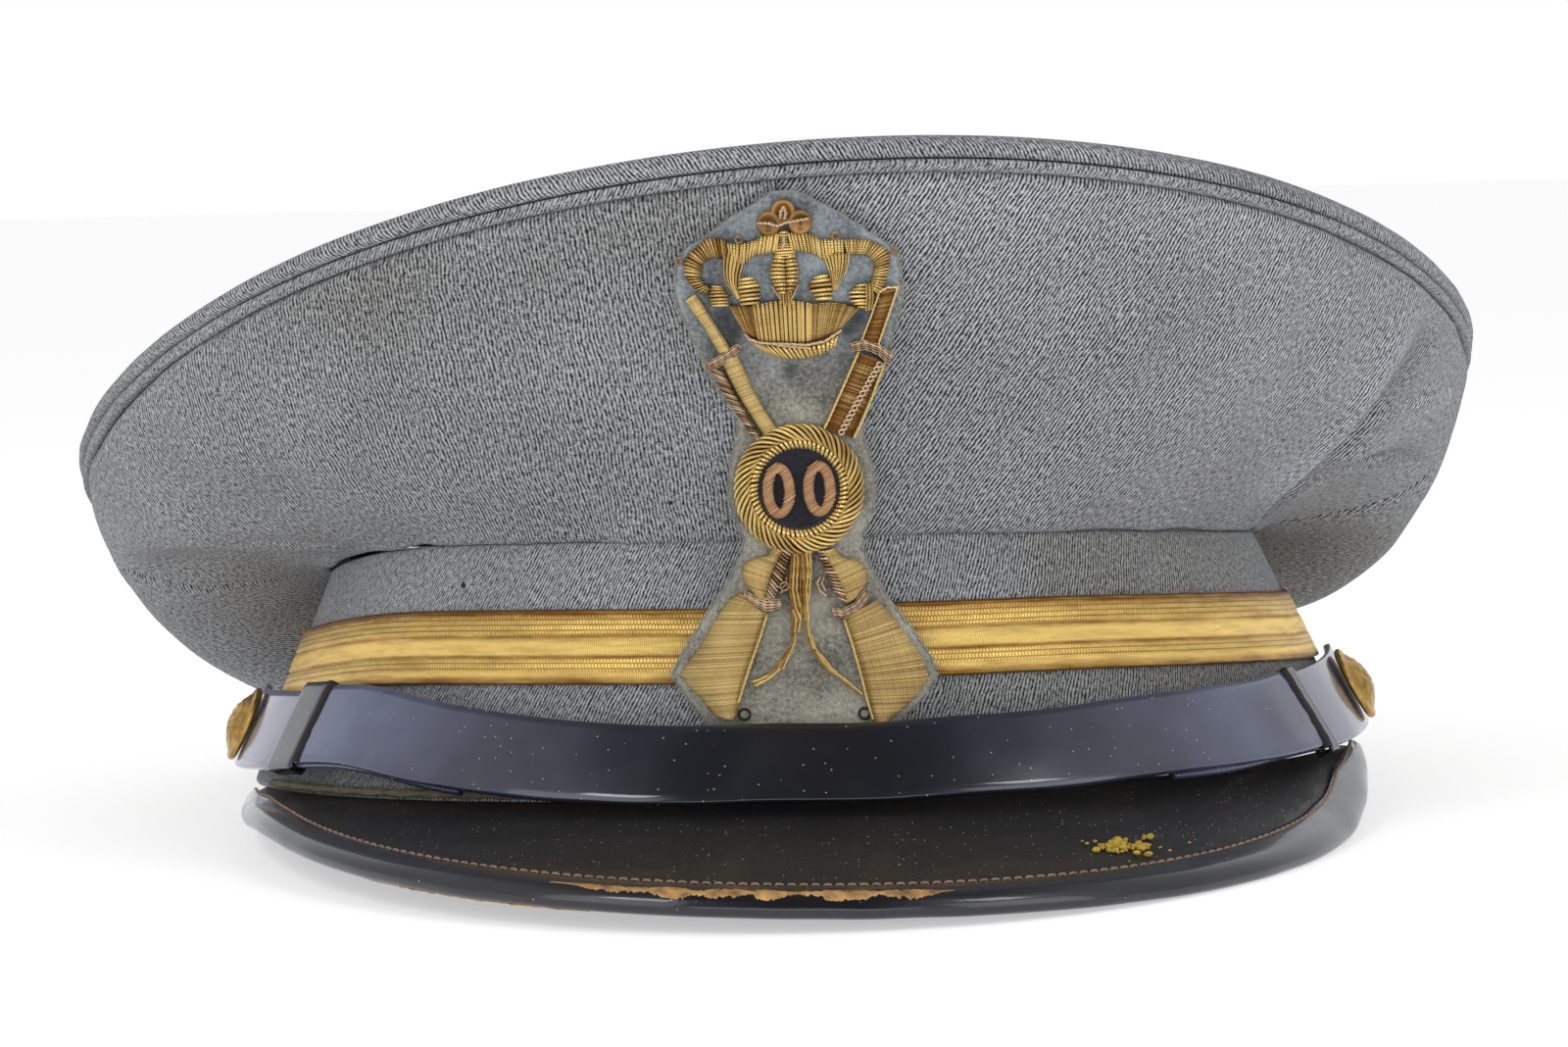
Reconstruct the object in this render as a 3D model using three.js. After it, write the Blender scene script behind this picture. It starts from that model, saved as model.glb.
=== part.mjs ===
// An officer's peaked cap of field-grey twill with a high front, a soft crown that falls to the back,
// a gold braid, a patent leather chin strap, a leather peak with a bound edge and an embroidered badge.
// Millimetres: x to the right of someone who faces the badge, y to the back, z up.
// Angles round the cap start at the front and grow towards +x.
import * as THREE from 'three';

const DEG = Math.PI / 180;
const GAP = 0.3;

// How the cap stands: it rocks back until the peak's lip and the back of the band touch the ground
const TILT_BACK = 3.64 * DEG;
const TILT_SIDE = 1.3 * DEG;

// Head band, a cone that is wider at its foot
const BAND_HALF_WIDTH_LOW = 90.5;
const BAND_HALF_WIDTH_HIGH = 76;
const BAND_HALF_LENGTH_LOW = 97;
const BAND_HALF_LENGTH_HIGH = 91;
const BAND_HEIGHT = 34.5;
const BAND_WALL = 2.2;
const BAND_CORNER = 3.0;

// Cloth of the crown and the edge where its top joins its sides
const CLOTH = 1.8;
const SEAM_STAND = 0.5;
const RIM_HALF_WIDTH = 114;
const RIM_FRONT = 111;
const RIM_BACK = 117.5;
const RIM_SHIFT = -1.4;
const RIM_HEIGHT = 56.2;
const RIM_TILT = 26.3;
const RIM_SADDLE = 5.55;
const RIM_LEAN = 5.0;
const RIM_CORNERS = 0.65;
const RIM_WELT_HEIGHT = 1.5;
const TOP_ROLL_HEIGHT = 3.6;
const FRONT_SEAM = 0.9 * DEG;

// Gold braid round the band
const BRAID_BELOW_SEAM = 9.8;
const BRAID_WIDTH = 11;
const BRAID_THICKNESS = 0.8;

// Leather peak and its bound edge
const PEAK_HALF_WIDTH = 88.5;
const PEAK_LIP = 141;
const PEAK_ENDS = 27;
const PEAK_DROP = 11.2;
const PEAK_SIDES = 3.7;
const PEAK_CROWN = 0.6;
const PEAK_TURN = 87 * DEG;
const PEAK_FOOT = 70 * DEG;
const PEAK_TWIST = 0.052;
const EDGE_TWIST = 0.01;
const PEAK_THICKNESS = 1.7;
const BINDING_FLAP = 4.6;
const BINDING_LEATHER = 0.6;
const BINDING_FOLD = 0.9;
const PLATE_SHORT = BINDING_FOLD + 0.4;
const WELT_RADIUS = 0.65;
const WELT_ANGLE = 66 * DEG;

// Chin strap, its keepers and its buttons
const STRAP_WIDTH = 13.4;
const STRAP_THICKNESS = 1.4;
const STRAP_ANGLE = 83 * DEG;
const STRAP_LEAN_FRONT = 38 * DEG;
const STRAP_LEAN_SIDE = 25 * DEG;
const STRAP_TOP_FRONT = 8.8;
const STRAP_TOP_SIDE = 14.4;
const STRAP_STAND_FRONT = 3.2;
const STRAP_STAND_SIDE = 2.4;
const STRAP_LIFT = 4.4;
const STRAP_CUT_LEFT = -53 * DEG;
const STRAP_CUT_RIGHT = 55.5 * DEG;
const STRAP_LAP = 22 * DEG;
const KEEPER_THICKNESS = 0.5;
const BUTTON_ANGLE = 77 * DEG;
const BUTTON_PROFILE = [
  { radius: 0, height: 0 }, { radius: 6.1, height: 0 }, { radius: 6.3, height: 0.7 },
  { radius: 5.4, height: 1.2 }, { radius: 4.3, height: 1.6 }, { radius: 3.3, height: 2.4 },
  { radius: 1.8, height: 3.0 }, { radius: 0, height: 3.3 },
];

// Badge: its tables are in pixels of the photograph turned level, from the centre of its ring
const BADGE_PIXEL = 0.14;
const BADGE_RING_X = 815;
const BADGE_RING_Y = 500;
const BADGE_RING_HEIGHT = 44.3;
const BADGE_SIDEWAYS = 1.3;
const BADGE_KINK = 42;
const BADGE_FRONT = -91.95;
const FELT = 1.2;
const RELIEF = 1.3;
const DISC_THICKNESS = 0.5;
const NUMERAL_RELIEF = 0.6;
const RING_SECTION = [
  { radius: 67, rise: 0 }, { radius: 67, rise: 0.8 }, { radius: 63, rise: 1.6 }, { radius: 56, rise: 1.6 },
  { radius: 51.5, rise: 0.9 }, { radius: 49, rise: 1.2 }, { radius: 44, rise: 1 }, { radius: 43, rise: 0 },
];

const CLOTH_LOOK = { color: 0x80857f, roughness: 0.95, metalness: 0 };
const FELT_LOOK = { color: 0x767d7d, roughness: 0.98, metalness: 0 };
const GOLD_LOOK = { color: 0xb8924a, roughness: 0.42, metalness: 0.75 };
const THREAD_LOOK = { color: 0xb9996f, roughness: 0.7, metalness: 0.1 };
const PATENT_LOOK = { color: 0x111318, roughness: 0.14, metalness: 0 };
const LEATHER_LOOK = { color: 0x24252a, roughness: 0.62, metalness: 0 };
const DISC_LOOK = { color: 0x2a2a33, roughness: 0.9, metalness: 0 };
const BUTTON_LOOK = { color: 0xa98b52, roughness: 0.35, metalness: 0.9 };

const cap = new THREE.Group();
const mix = (a, b, t) => a + (b - a) * t;
const bell = (x, width) => Math.exp(-(x * x) / (width * width));
const smooth = (x) => {
  const t = Math.min(1, Math.max(0, x));
  return t * t * (3 - 2 * t);
};

// A closed body from its points and triangles, with its faces turned outwards
function addBody(name, points, faces, look) {
  let volume = 0;
  for (const [a, b, c] of faces) {
    const [p, q, r] = [points[a], points[b], points[c]];
    volume += p[0] * (q[1] * r[2] - q[2] * r[1]);
    volume += p[1] * (q[2] * r[0] - q[0] * r[2]);
    volume += p[2] * (q[0] * r[1] - q[1] * r[0]);
  }
  const turned = volume > 0 ? faces : faces.map(([a, b, c]) => [a, c, b]);
  const geometry = new THREE.BufferGeometry();
  geometry.setAttribute('position', new THREE.Float32BufferAttribute(points.flat(), 3));
  geometry.setIndex(turned.flat());
  geometry.computeVertexNormals();
  const mesh = new THREE.Mesh(geometry, new THREE.MeshStandardMaterial(look));
  mesh.name = name;
  cap.add(mesh);
  return mesh;
}

// A wall between an outer and an inner sheet, each a function of two shares from 0 to 1;
// the first share may run all the way round
function addWall(name, outer, inner, columns, rows, round, look) {
  const width = round ? columns : columns + 1;
  const points = [];
  for (const sheet of [outer, inner]) {
    for (let row = 0; row <= rows; row += 1) {
      for (let column = 0; column < width; column += 1) {
        points.push(sheet(column / columns, row / rows));
      }
    }
  }
  const inside = width * (rows + 1);
  const at = (column, row, base) => base + row * width + (column % width);
  const faces = [];
  const quad = (a, b, c, d) => faces.push([a, b, c], [a, c, d]);
  for (let column = 0; column < columns; column += 1) {
    for (let row = 0; row < rows; row += 1) {
      quad(at(column, row, 0), at(column + 1, row, 0), at(column + 1, row + 1, 0), at(column, row + 1, 0));
      quad(at(column, row, inside), at(column, row + 1, inside), at(column + 1, row + 1, inside),
        at(column + 1, row, inside));
    }
    quad(at(column, 0, 0), at(column, 0, inside), at(column + 1, 0, inside), at(column + 1, 0, 0));
    quad(at(column, rows, 0), at(column + 1, rows, 0), at(column + 1, rows, inside),
      at(column, rows, inside));
  }
  if (!round) {
    for (let row = 0; row < rows; row += 1) {
      quad(at(0, row, 0), at(0, row + 1, 0), at(0, row + 1, inside), at(0, row, inside));
      quad(at(columns, row, 0), at(columns, row, inside), at(columns, row + 1, inside),
        at(columns, row + 1, 0));
    }
  }
  return addBody(name, points, faces, look);
}

// A bar whose closed section, a list of points, changes along a path; its two ends are flat or it runs round
function addBar(name, section, steps, round, look) {
  const count = round ? steps : steps + 1;
  const rings = Array.from({ length: count }, (_, step) => section(step / steps));
  const sides = rings[0].length;
  const points = rings.flat();
  const faces = [];
  for (let step = 0; step < steps; step += 1) {
    const next = (step + 1) % count;
    for (let side = 0; side < sides; side += 1) {
      const after = (side + 1) % sides;
      const [a, b] = [step * sides + side, next * sides + side];
      const [c, d] = [next * sides + after, step * sides + after];
      faces.push([a, b, c], [a, c, d]);
    }
  }
  if (!round) {
    const flat = (ring) => ring.map(([x, y, z]) => new THREE.Vector3(x, y, z));
    for (const [step, turned] of [[0, false], [steps, true]]) {
      for (const [a, b, c] of triangulate(flat(rings[step]))) {
        const base = step * sides;
        faces.push(turned ? [base + a, base + c, base + b] : [base + a, base + b, base + c]);
      }
    }
  }
  return addBody(name, points, faces, look);
}

// Triangles of a flat outline in space, found in the plane that it faces
function triangulate(outline) {
  const normal = new THREE.Vector3();
  outline.forEach((p, i) => {
    const q = outline[(i + 1) % outline.length];
    normal.add(new THREE.Vector3().crossVectors(p, q));
  });
  normal.normalize();
  const along = new THREE.Vector3().subVectors(outline[1], outline[0]).normalize();
  const across = new THREE.Vector3().crossVectors(normal, along);
  const flat = outline.map((p) => new THREE.Vector2(p.dot(along), p.dot(across)));
  return THREE.ShapeUtils.triangulateShape(flat, []);
}

// Degrees from a named angle to this one, the short way round
function turnFrom(angle, degrees) {
  const turn = (angle / DEG - degrees) % 360;
  return turn > 180 ? turn - 360 : turn < -180 ? turn + 360 : turn;
}

// The band
function bandTop(angle) {
  const corner = BAND_CORNER * bell(turnFrom(angle, -50), 30);
  return BAND_HEIGHT + Math.cos(angle) + 1.5 * Math.cos(2 * angle) + corner;
}

function bandPoint(angle, height, out) {
  const t = height / bandTop(angle);
  const halfWidth = mix(BAND_HALF_WIDTH_LOW, BAND_HALF_WIDTH_HIGH, t);
  const halfLength = mix(BAND_HALF_LENGTH_LOW, BAND_HALF_LENGTH_HIGH, t);
  const normal = new THREE.Vector2(Math.sin(angle) / halfWidth, -Math.cos(angle) / halfLength).normalize();
  const x = halfWidth * Math.sin(angle) + out * normal.x;
  const y = -halfLength * Math.cos(angle) + out * normal.y;
  return [x, y, height];
}

function makeBand() {
  const steps = 64;
  const wall = (out) => (u, v) => {
    const angle = u * 2 * Math.PI;
    return bandPoint(angle, v * bandTop(angle), out);
  };
  addWall('band', wall(0), wall(-BAND_WALL), steps, 2, true, CLOTH_LOOK);
  const braid = (out) => (u, v) => {
    const angle = u * 2 * Math.PI;
    return bandPoint(angle, bandTop(angle) - BRAID_BELOW_SEAM - (1 - v) * BRAID_WIDTH, out);
  };
  addWall('braid', braid(GAP + BRAID_THICKNESS), braid(GAP), steps, 1, true, GOLD_LOOK);
}

// The crown's sides: one curve from the band up to the rim at every angle, with slow waves round the cap
const wave = (angle, mean, once, twice, thrice, four) => mean + once * Math.cos(angle)
  + twice * Math.cos(2 * angle) + thrice * Math.cos(3 * angle) + four * Math.cos(4 * angle);

function rimPoint(angle, up) {
  const front = Math.cos(angle) > 0;
  const x = RIM_SHIFT + RIM_HALF_WIDTH * Math.sin(angle);
  const y = -(front ? RIM_FRONT : RIM_BACK) * Math.cos(angle);
  const waves = wave(angle, RIM_CORNERS, RIM_TILT, RIM_SADDLE, 0, -RIM_CORNERS);
  return new THREE.Vector3(x, y, RIM_HEIGHT + waves + RIM_LEAN * Math.sin(angle) + up);
}

function crownCurve(angle) {
  const start = new THREE.Vector3(...bandPoint(angle, bandTop(angle) + GAP, SEAM_STAND));
  const end = rimPoint(angle, 0);
  const outward = new THREE.Vector3(end.x - start.x, end.y - start.y, 0).normalize();
  const lift = 21 * bell(turnFrom(angle, 80), 30);
  const launch = (wave(angle, -6, 66.4, 6, -1.4, 10) + lift) * DEG;
  const belly = 4 * bell(turnFrom(angle, -108), 38) + 3 * bell(turnFrom(angle, 92), 34);
  const launchPull = wave(angle, 24, -6.8, 1, 2.8, -1) + belly;
  const arrival = wave(angle, 82.8, -16, 2, 0, 0) * DEG;
  const arrivalPull = wave(angle, 19, -6.7, 4.5, 2.7, 0) + belly;
  const droop = 7 * bell(turnFrom(angle, -125), 32) + 6.5 * bell(turnFrom(angle, 112), 30);
  const first = start.clone().addScaledVector(outward, Math.cos(launch) * launchPull);
  first.z += Math.sin(launch) * launchPull - droop;
  const second = end.clone().addScaledVector(outward, -Math.cos(arrival) * arrivalPull);
  second.z -= Math.sin(arrival) * arrivalPull + droop;
  return new THREE.CubicBezierCurve3(start, first, second, end);
}

// Folds that run from the band's front corners to the rim: angle and lean in degrees, height in millimetres
const FOLDS = [
  { angle: -62, lean: -22, width: 6, from: 0.02, to: 0.75, height: 2.2 },
  { angle: -74, lean: -22, width: 6, from: 0.02, to: 0.8, height: -2.4 },
  { angle: 60, lean: 6, width: 6, from: 0.02, to: 1.0, height: -3 },
  { angle: 72, lean: 6, width: 7, from: 0.1, to: 0.95, height: 2.2 },
];

function foldHeight(angle, rise) {
  let height = 0;
  for (const fold of FOLDS) {
    const centre = fold.angle + fold.lean * rise;
    const across = bell(turnFrom(angle, centre), fold.width);
    const span = (rise - fold.from) / (fold.to - fold.from);
    const along = span > 0 && span < 1 ? Math.sin(Math.PI * span) ** 2 : 0;
    height += fold.height * across * along;
  }
  return height;
}

function crownPoint(angle, rise) {
  return crownCurve(angle).getPoint(rise);
}

function crownOuter(angle, rise) {
  const step = 0.01;
  const here = crownPoint(angle, rise);
  const alongAngle = crownPoint(angle + step, rise).sub(crownPoint(angle - step, rise));
  const [above, below] = [Math.min(1, rise + step), Math.max(0, rise - step)];
  const alongRise = crownPoint(angle, above).sub(crownPoint(angle, below));
  const normal = alongAngle.cross(alongRise).normalize();
  return here.addScaledVector(normal, foldHeight(angle, rise));
}

function crownWall(angle, rise, inward) {
  const step = 0.01;
  const here = crownOuter(angle, rise);
  const alongAngle = crownOuter(angle + step, rise).sub(crownOuter(angle - step, rise));
  const [above, below] = [Math.min(1, rise + step), Math.max(0, rise - step)];
  const alongRise = crownOuter(angle, above).sub(crownOuter(angle, below));
  const normal = alongAngle.cross(alongRise).normalize();
  return here.addScaledVector(normal, -inward).toArray();
}

const QUARTERS = [
  { name: 'quarter_front_left', from: -90 * DEG, to: FRONT_SEAM, columns: 18 },
  { name: 'quarter_front_right', from: FRONT_SEAM, to: 90 * DEG, columns: 18 },
  { name: 'quarter_rear_right', from: 90 * DEG, to: 180 * DEG, columns: 11 },
  { name: 'quarter_rear_left', from: 180 * DEG, to: 270 * DEG, columns: 11 },
];

function makeQuarters() {
  const seam = GAP / 2 / BAND_HALF_WIDTH_HIGH;
  for (const { name, from, to, columns } of QUARTERS) {
    const sheet = (inward) => (u, v) => {
      const angle = mix(from + seam, to - seam, u);
      const rimGap = GAP / 2;
      const point = crownWall(angle, v, inward);
      const level = v === 1 ? crownWall(angle, v, 0)[2] : point[2];
      return [point[0], point[1], level - rimGap * v];
    };
    addWall(name, sheet(0), sheet(CLOTH), columns, 8, false, CLOTH_LOOK);
  }
}

// The narrow welt at the rim and the top panel, which rolls over the edge
function rimRing(angle, out, up) {
  const point = rimPoint(angle, up);
  const normal = new THREE.Vector2(Math.sin(angle) / RIM_HALF_WIDTH, -Math.cos(angle) / RIM_BACK).normalize();
  return [point.x + out * normal.x, point.y + out * normal.y, point.z];
}

function makeRimWelt() {
  const section = (u) => {
    const angle = u * 2 * Math.PI;
    const middle = GAP + RIM_WELT_HEIGHT / 2;
    return [
      rimRing(angle, -1.4, GAP),
      rimRing(angle, 0, GAP),
      rimRing(angle, 0.6, middle),
      rimRing(angle, 0, GAP + RIM_WELT_HEIGHT),
      rimRing(angle, -1.4, GAP + RIM_WELT_HEIGHT),
    ];
  };
  addBar('rim_welt', section, 64, true, CLOTH_LOOK);
}

// The top panel follows the rim's waves inwards and sags a little
function topHeight(angle, share) {
  const base = 2 * GAP + RIM_WELT_HEIGHT + TOP_ROLL_HEIGHT + RIM_HEIGHT;
  const tilt = share * (RIM_TILT * Math.cos(angle) + RIM_LEAN * Math.sin(angle));
  const saddle = share * share * RIM_SADDLE * Math.cos(2 * angle);
  const corners = RIM_CORNERS * share ** 4 * (1 - Math.cos(4 * angle));
  const sag = 3 * (1 - share * share) - 1.2 * bell(share - 0.93, 0.06);
  return base + tilt + saddle + corners - sag;
}

function topPoint(angle, share, down) {
  const edge = rimRing(angle, 0, 0);
  const x = RIM_SHIFT + (edge[0] - RIM_SHIFT) * share;
  const y = edge[1] * share;
  return [x, y, topHeight(angle, share) - down];
}

function makeTop() {
  const steps = 64;
  const low = 2 * GAP + RIM_WELT_HEIGHT;
  const profile = (angle) => [
    topPoint(angle, 0.35, 0),
    topPoint(angle, 0.7, 0),
    topPoint(angle, 0.9, 0),
    topPoint(angle, 0.975, 0),
    rimRing(angle, 0.1, low + TOP_ROLL_HEIGHT * 0.85),
    rimRing(angle, 1, low + TOP_ROLL_HEIGHT * 0.5),
    rimRing(angle, 0.3, low),
    rimRing(angle, -1.5, low),
    topPoint(angle, 0.965, CLOTH + 0.4),
    topPoint(angle, 0.9, CLOTH),
    topPoint(angle, 0.7, CLOTH),
    topPoint(angle, 0.35, CLOTH),
  ];
  const points = [];
  const faces = [];
  for (let step = 0; step < steps; step += 1) {
    points.push(...profile(step / steps * 2 * Math.PI));
  }
  const count = profile(0).length;
  const upper = points.push(topPoint(0, 0, 0)) - 1;
  const lower = points.push(topPoint(0, 0, CLOTH)) - 1;
  for (let step = 0; step < steps; step += 1) {
    const here = step * count;
    const next = (step + 1) % steps * count;
    for (let i = 0; i + 1 < count; i += 1) {
      faces.push([here + i, next + i, next + i + 1], [here + i, next + i + 1, here + i + 1]);
    }
    faces.push([upper, next, here]);
    faces.push([lower, here + count - 1, next + count - 1]);
  }
  addBody('crown_top', points, faces, CLOTH_LOOK);
}

// The peak: straight lines from the foot of the band out to a lip, which they meet squarely
function peakEdge(turn) {
  const angle = Math.sign(turn) * PEAK_FOOT * Math.abs(turn / PEAK_TURN) ** 1.26;
  return bandPoint(angle, 0, GAP + 0.1);
}

function peakLip(turn) {
  const x = PEAK_HALF_WIDTH * Math.sin(turn);
  const y = -(PEAK_ENDS + (PEAK_LIP - PEAK_ENDS) * Math.cos(turn));
  const middle = PEAK_DROP * Math.cos(turn) ** 1.1;
  const sides = PEAK_SIDES * Math.sin(turn) ** 2 * Math.cos(turn) ** 0.5;
  return [x, y, -middle - sides];
}

function peakReach(turn) {
  const [edge, lip] = [peakEdge(turn), peakLip(turn)];
  return Math.hypot(lip[0] - edge[0], lip[1] - edge[1]);
}

function peakPoint(turn, share, down) {
  const [edge, lip] = [peakEdge(turn), peakLip(turn)];
  const hollow = PEAK_CROWN * Math.sin(Math.PI * share) * Math.cos(turn);
  const twist = lip[0] * mix(EDGE_TWIST, PEAK_TWIST * smooth(2.2 * Math.cos(turn)), share);
  const height = mix(-GAP, lip[2], share) + hollow - twist - down;
  return [mix(edge[0], lip[0], share), mix(edge[1], lip[1], share), height];
}

function makePeak() {
  const steps = 36;
  const half = PEAK_THICKNESS / 2;
  const turnAt = (u) => mix(-PEAK_TURN, PEAK_TURN, u);
  const sheet = (down) => (u, v) => {
    const turn = turnAt(u);
    return peakPoint(turn, v * (1 - PLATE_SHORT / peakReach(turn)), down);
  };
  addWall('peak', sheet(0), sheet(PEAK_THICKNESS), steps, 4, false, LEATHER_LOOK);
  const slot = half + GAP;
  const skin = slot + BINDING_LEATHER;
  const section = (u) => {
    const turn = turnAt(u);
    const reach = peakReach(turn);
    const flap = Math.min(BINDING_FLAP, reach / 2);
    const outline = [
      [flap, skin], [1.2, skin], [-0.1, skin * 0.8], [-BINDING_FOLD, 0], [-0.1, -skin * 0.8],
      [1.2, -skin], [flap, -skin], [flap, -slot], [BINDING_FOLD, -slot], [BINDING_FOLD, slot], [flap, slot],
    ];
    return outline.map(([back, rise]) => peakPoint(turn, 1 - back / reach, half - rise));
  };
  addBar('peak_binding', section, steps, false, PATENT_LOOK);
}

// The stitched welt that covers the joint of band and peak
function makeEdgeWelt() {
  const section = (u) => {
    const angle = mix(-WELT_ANGLE, WELT_ANGLE, u);
    const twist = PEAK_HALF_WIDTH * Math.sin(angle) * EDGE_TWIST;
    return Array.from({ length: 6 }, (_, side) => {
      const turn = side / 6 * 2 * Math.PI;
      const height = WELT_RADIUS * (1 + Math.sin(turn)) - twist + 0.15;
      return bandPoint(angle, height, GAP + 0.15 + WELT_RADIUS * (1 + Math.cos(turn)));
    });
  };
  addBar('band_edge_welt', section, 40, false, THREAD_LOOK);
}

// The chin strap: a point by its angle, its share up the width and its distance out of the lower layer
function strapPoint(angle, across, out) {
  const side = Math.abs(angle / STRAP_ANGLE) ** 1.6;
  const lean = mix(STRAP_LEAN_FRONT, STRAP_LEAN_SIDE, side);
  const lift = STRAP_LIFT * bell(turnFrom(angle, -48), 20);
  const top = mix(STRAP_TOP_FRONT, STRAP_TOP_SIDE, side) + lift;
  const stand = mix(STRAP_STAND_FRONT, STRAP_STAND_SIDE, side);
  const start = bandPoint(angle, top, stand);
  const beyond = bandPoint(angle, top, stand + 1);
  const normal = [beyond[0] - start[0], beyond[1] - start[1]];
  const down = STRAP_WIDTH * (1 - across);
  const reach = down * Math.sin(lean) + out * Math.cos(lean);
  const height = start[2] - down * Math.cos(lean) + out * Math.sin(lean) - start[0] * EDGE_TWIST;
  return [start[0] + normal[0] * reach, start[1] + normal[1] * reach, height];
}

function makeStrapPiece(name, from, to, out, steps) {
  const section = (u) => {
    const angle = mix(from, to, u);
    return [
      strapPoint(angle, 0, out),
      strapPoint(angle, 0, out + STRAP_THICKNESS),
      strapPoint(angle, 1, out + STRAP_THICKNESS),
      strapPoint(angle, 1, out),
    ];
  };
  addBar(name, section, steps, false, PATENT_LOOK);
}

function makeKeeper(name, from, to) {
  const edge = (GAP + KEEPER_THICKNESS) / STRAP_WIDTH;
  const ring = (outside) => {
    const rise = outside ? edge : GAP / STRAP_WIDTH;
    const below = outside ? -GAP - KEEPER_THICKNESS : -GAP;
    const above = STRAP_THICKNESS - below;
    return [[-rise, below], [-rise, above], [1 + rise, above], [1 + rise, below]];
  };
  const sheet = (outside) => (u, v) => {
    const [across, out] = ring(outside)[Math.round(u * 4) % 4];
    return strapPoint(mix(from, to, v), across, out);
  };
  addWall(name, sheet(true), sheet(false), 4, 2, true, PATENT_LOOK);
}

function makeButton(name, angle) {
  const profile = BUTTON_PROFILE.map(({ radius, height }) => new THREE.Vector2(radius, height));
  const geometry = new THREE.LatheGeometry(profile, 16);
  const button = new THREE.Mesh(geometry, new THREE.MeshStandardMaterial(BUTTON_LOOK));
  const seat = new THREE.Vector3(...strapPoint(angle, 0.5, STRAP_THICKNESS + GAP));
  const ahead = new THREE.Vector3(...strapPoint(angle, 0.5, STRAP_THICKNESS + GAP + 1));
  button.position.copy(seat);
  button.quaternion.setFromUnitVectors(new THREE.Vector3(0, 1, 0), ahead.sub(seat).normalize());
  button.name = name;
  cap.add(button);
}

function makeStrap() {
  const layer = STRAP_THICKNESS + GAP;
  makeStrapPiece('chin_strap', STRAP_CUT_LEFT, STRAP_CUT_RIGHT, layer, 40);
  makeStrapPiece('strap_end_left', -STRAP_ANGLE, STRAP_CUT_LEFT + STRAP_LAP, 0, 16);
  makeStrapPiece('strap_end_right', STRAP_CUT_RIGHT - STRAP_LAP, STRAP_ANGLE, 0, 16);
  makeKeeper('keeper_left', STRAP_CUT_LEFT - 6.6 * DEG, STRAP_CUT_LEFT - 1 * DEG);
  makeKeeper('keeper_right', STRAP_CUT_RIGHT + 1 * DEG, STRAP_CUT_RIGHT + 2.8 * DEG);
  makeButton('button_left', -BUTTON_ANGLE);
  makeButton('button_right', BUTTON_ANGLE);
}

// The badge lies on a smooth front that bridges the kink between band and crown
function badgePoint([photoX, photoY], out) {
  const across = (photoX - BADGE_RING_X) * BADGE_PIXEL;
  const height = BADGE_RING_HEIGHT + (BADGE_RING_Y - photoY) * BADGE_PIXEL;
  const above = height - BADGE_KINK;
  const front = BADGE_FRONT - 0.14 * above - 0.29 * Math.hypot(above, 8);
  const roundness = mix(0.0066, 0.0034, Math.min(1, Math.max(0, (height - 30) / 50)));
  const x = BADGE_SIDEWAYS + across;
  return [x, front + roundness * x * x - out, height];
}

function addPlate(name, outline, holes, from, thickness, look) {
  const flat = (loop) => loop.map(([x, y]) => new THREE.Vector2(x, -y));
  const contour = flat(outline);
  const cuts = holes.map(flat);
  if (THREE.ShapeUtils.isClockWise(contour)) {
    contour.reverse();
  }
  cuts.forEach((cut) => THREE.ShapeUtils.isClockWise(cut) || cut.reverse());
  const loops = [contour, ...cuts];
  const all = loops.flat().map((p) => [p.x, -p.y]);
  const points = [...all.map((p) => badgePoint(p, from + thickness)), ...all.map((p) => badgePoint(p, from))];
  const faces = [];
  for (const [a, b, c] of THREE.ShapeUtils.triangulateShape(contour, cuts)) {
    faces.push([a, b, c], [all.length + a, all.length + c, all.length + b]);
  }
  let first = 0;
  for (const loop of loops) {
    for (let i = 0; i < loop.length; i += 1) {
      const here = first + i;
      const next = first + (i + 1) % loop.length;
      faces.push([here, all.length + here, all.length + next], [here, all.length + next, next]);
    }
    first += loop.length;
  }
  addBody(name, points, faces, look);
}

// A raised strand or barrel on the badge from a table of its middle and half width
function addStrand(name, rows, from, thickness, look) {
  const middle = (i) => new THREE.Vector2(rows[i].x, rows[i].y);
  const section = (u) => {
    const i = Math.round(u * (rows.length - 1));
    const ahead = middle(Math.min(rows.length - 1, i + 1)).sub(middle(Math.max(0, i - 1))).normalize();
    const shape = [[-1, 0], [-1, 0.45], [-0.5, 1], [0.5, 1], [1, 0.45], [1, 0]];
    return shape.map(([side, rise]) => {
      const reach = side * rows[i].half;
      return badgePoint([rows[i].x - ahead.y * reach, rows[i].y + ahead.x * reach], from + rise * thickness);
    });
  };
  addBar(name, section, rows.length - 1, false, look);
}

const BACKING = [
  { y: 197, left: 802, right: 824 }, { y: 206, left: 786, right: 843 }, { y: 222, left: 756, right: 872 },
  { y: 238, left: 732, right: 894 }, { y: 250, left: 711, right: 912 }, { y: 264, left: 701, right: 927 },
  { y: 290, left: 697, right: 931 }, { y: 310, left: 700, right: 931 }, { y: 330, left: 707, right: 925 },
  { y: 350, left: 716, right: 918 }, { y: 375, left: 725, right: 912 }, { y: 400, left: 739, right: 900 },
  { y: 430, left: 756, right: 886 }, { y: 450, left: 750, right: 885 }, { y: 475, left: 743, right: 893 },
  { y: 500, left: 741, right: 896 }, { y: 525, left: 744, right: 893 }, { y: 550, left: 755, right: 880 },
  { y: 567, left: 750, right: 879 }, { y: 590, left: 738, right: 889 }, { y: 615, left: 719, right: 902 },
  { y: 640, left: 702, right: 918 }, { y: 662, left: 686, right: 934 }, { y: 685, left: 674, right: 947 },
  { y: 702, left: 681, right: 950 }, { y: 722, left: 697, right: 935 }, { y: 750, left: 716, right: 903 },
];

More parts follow.
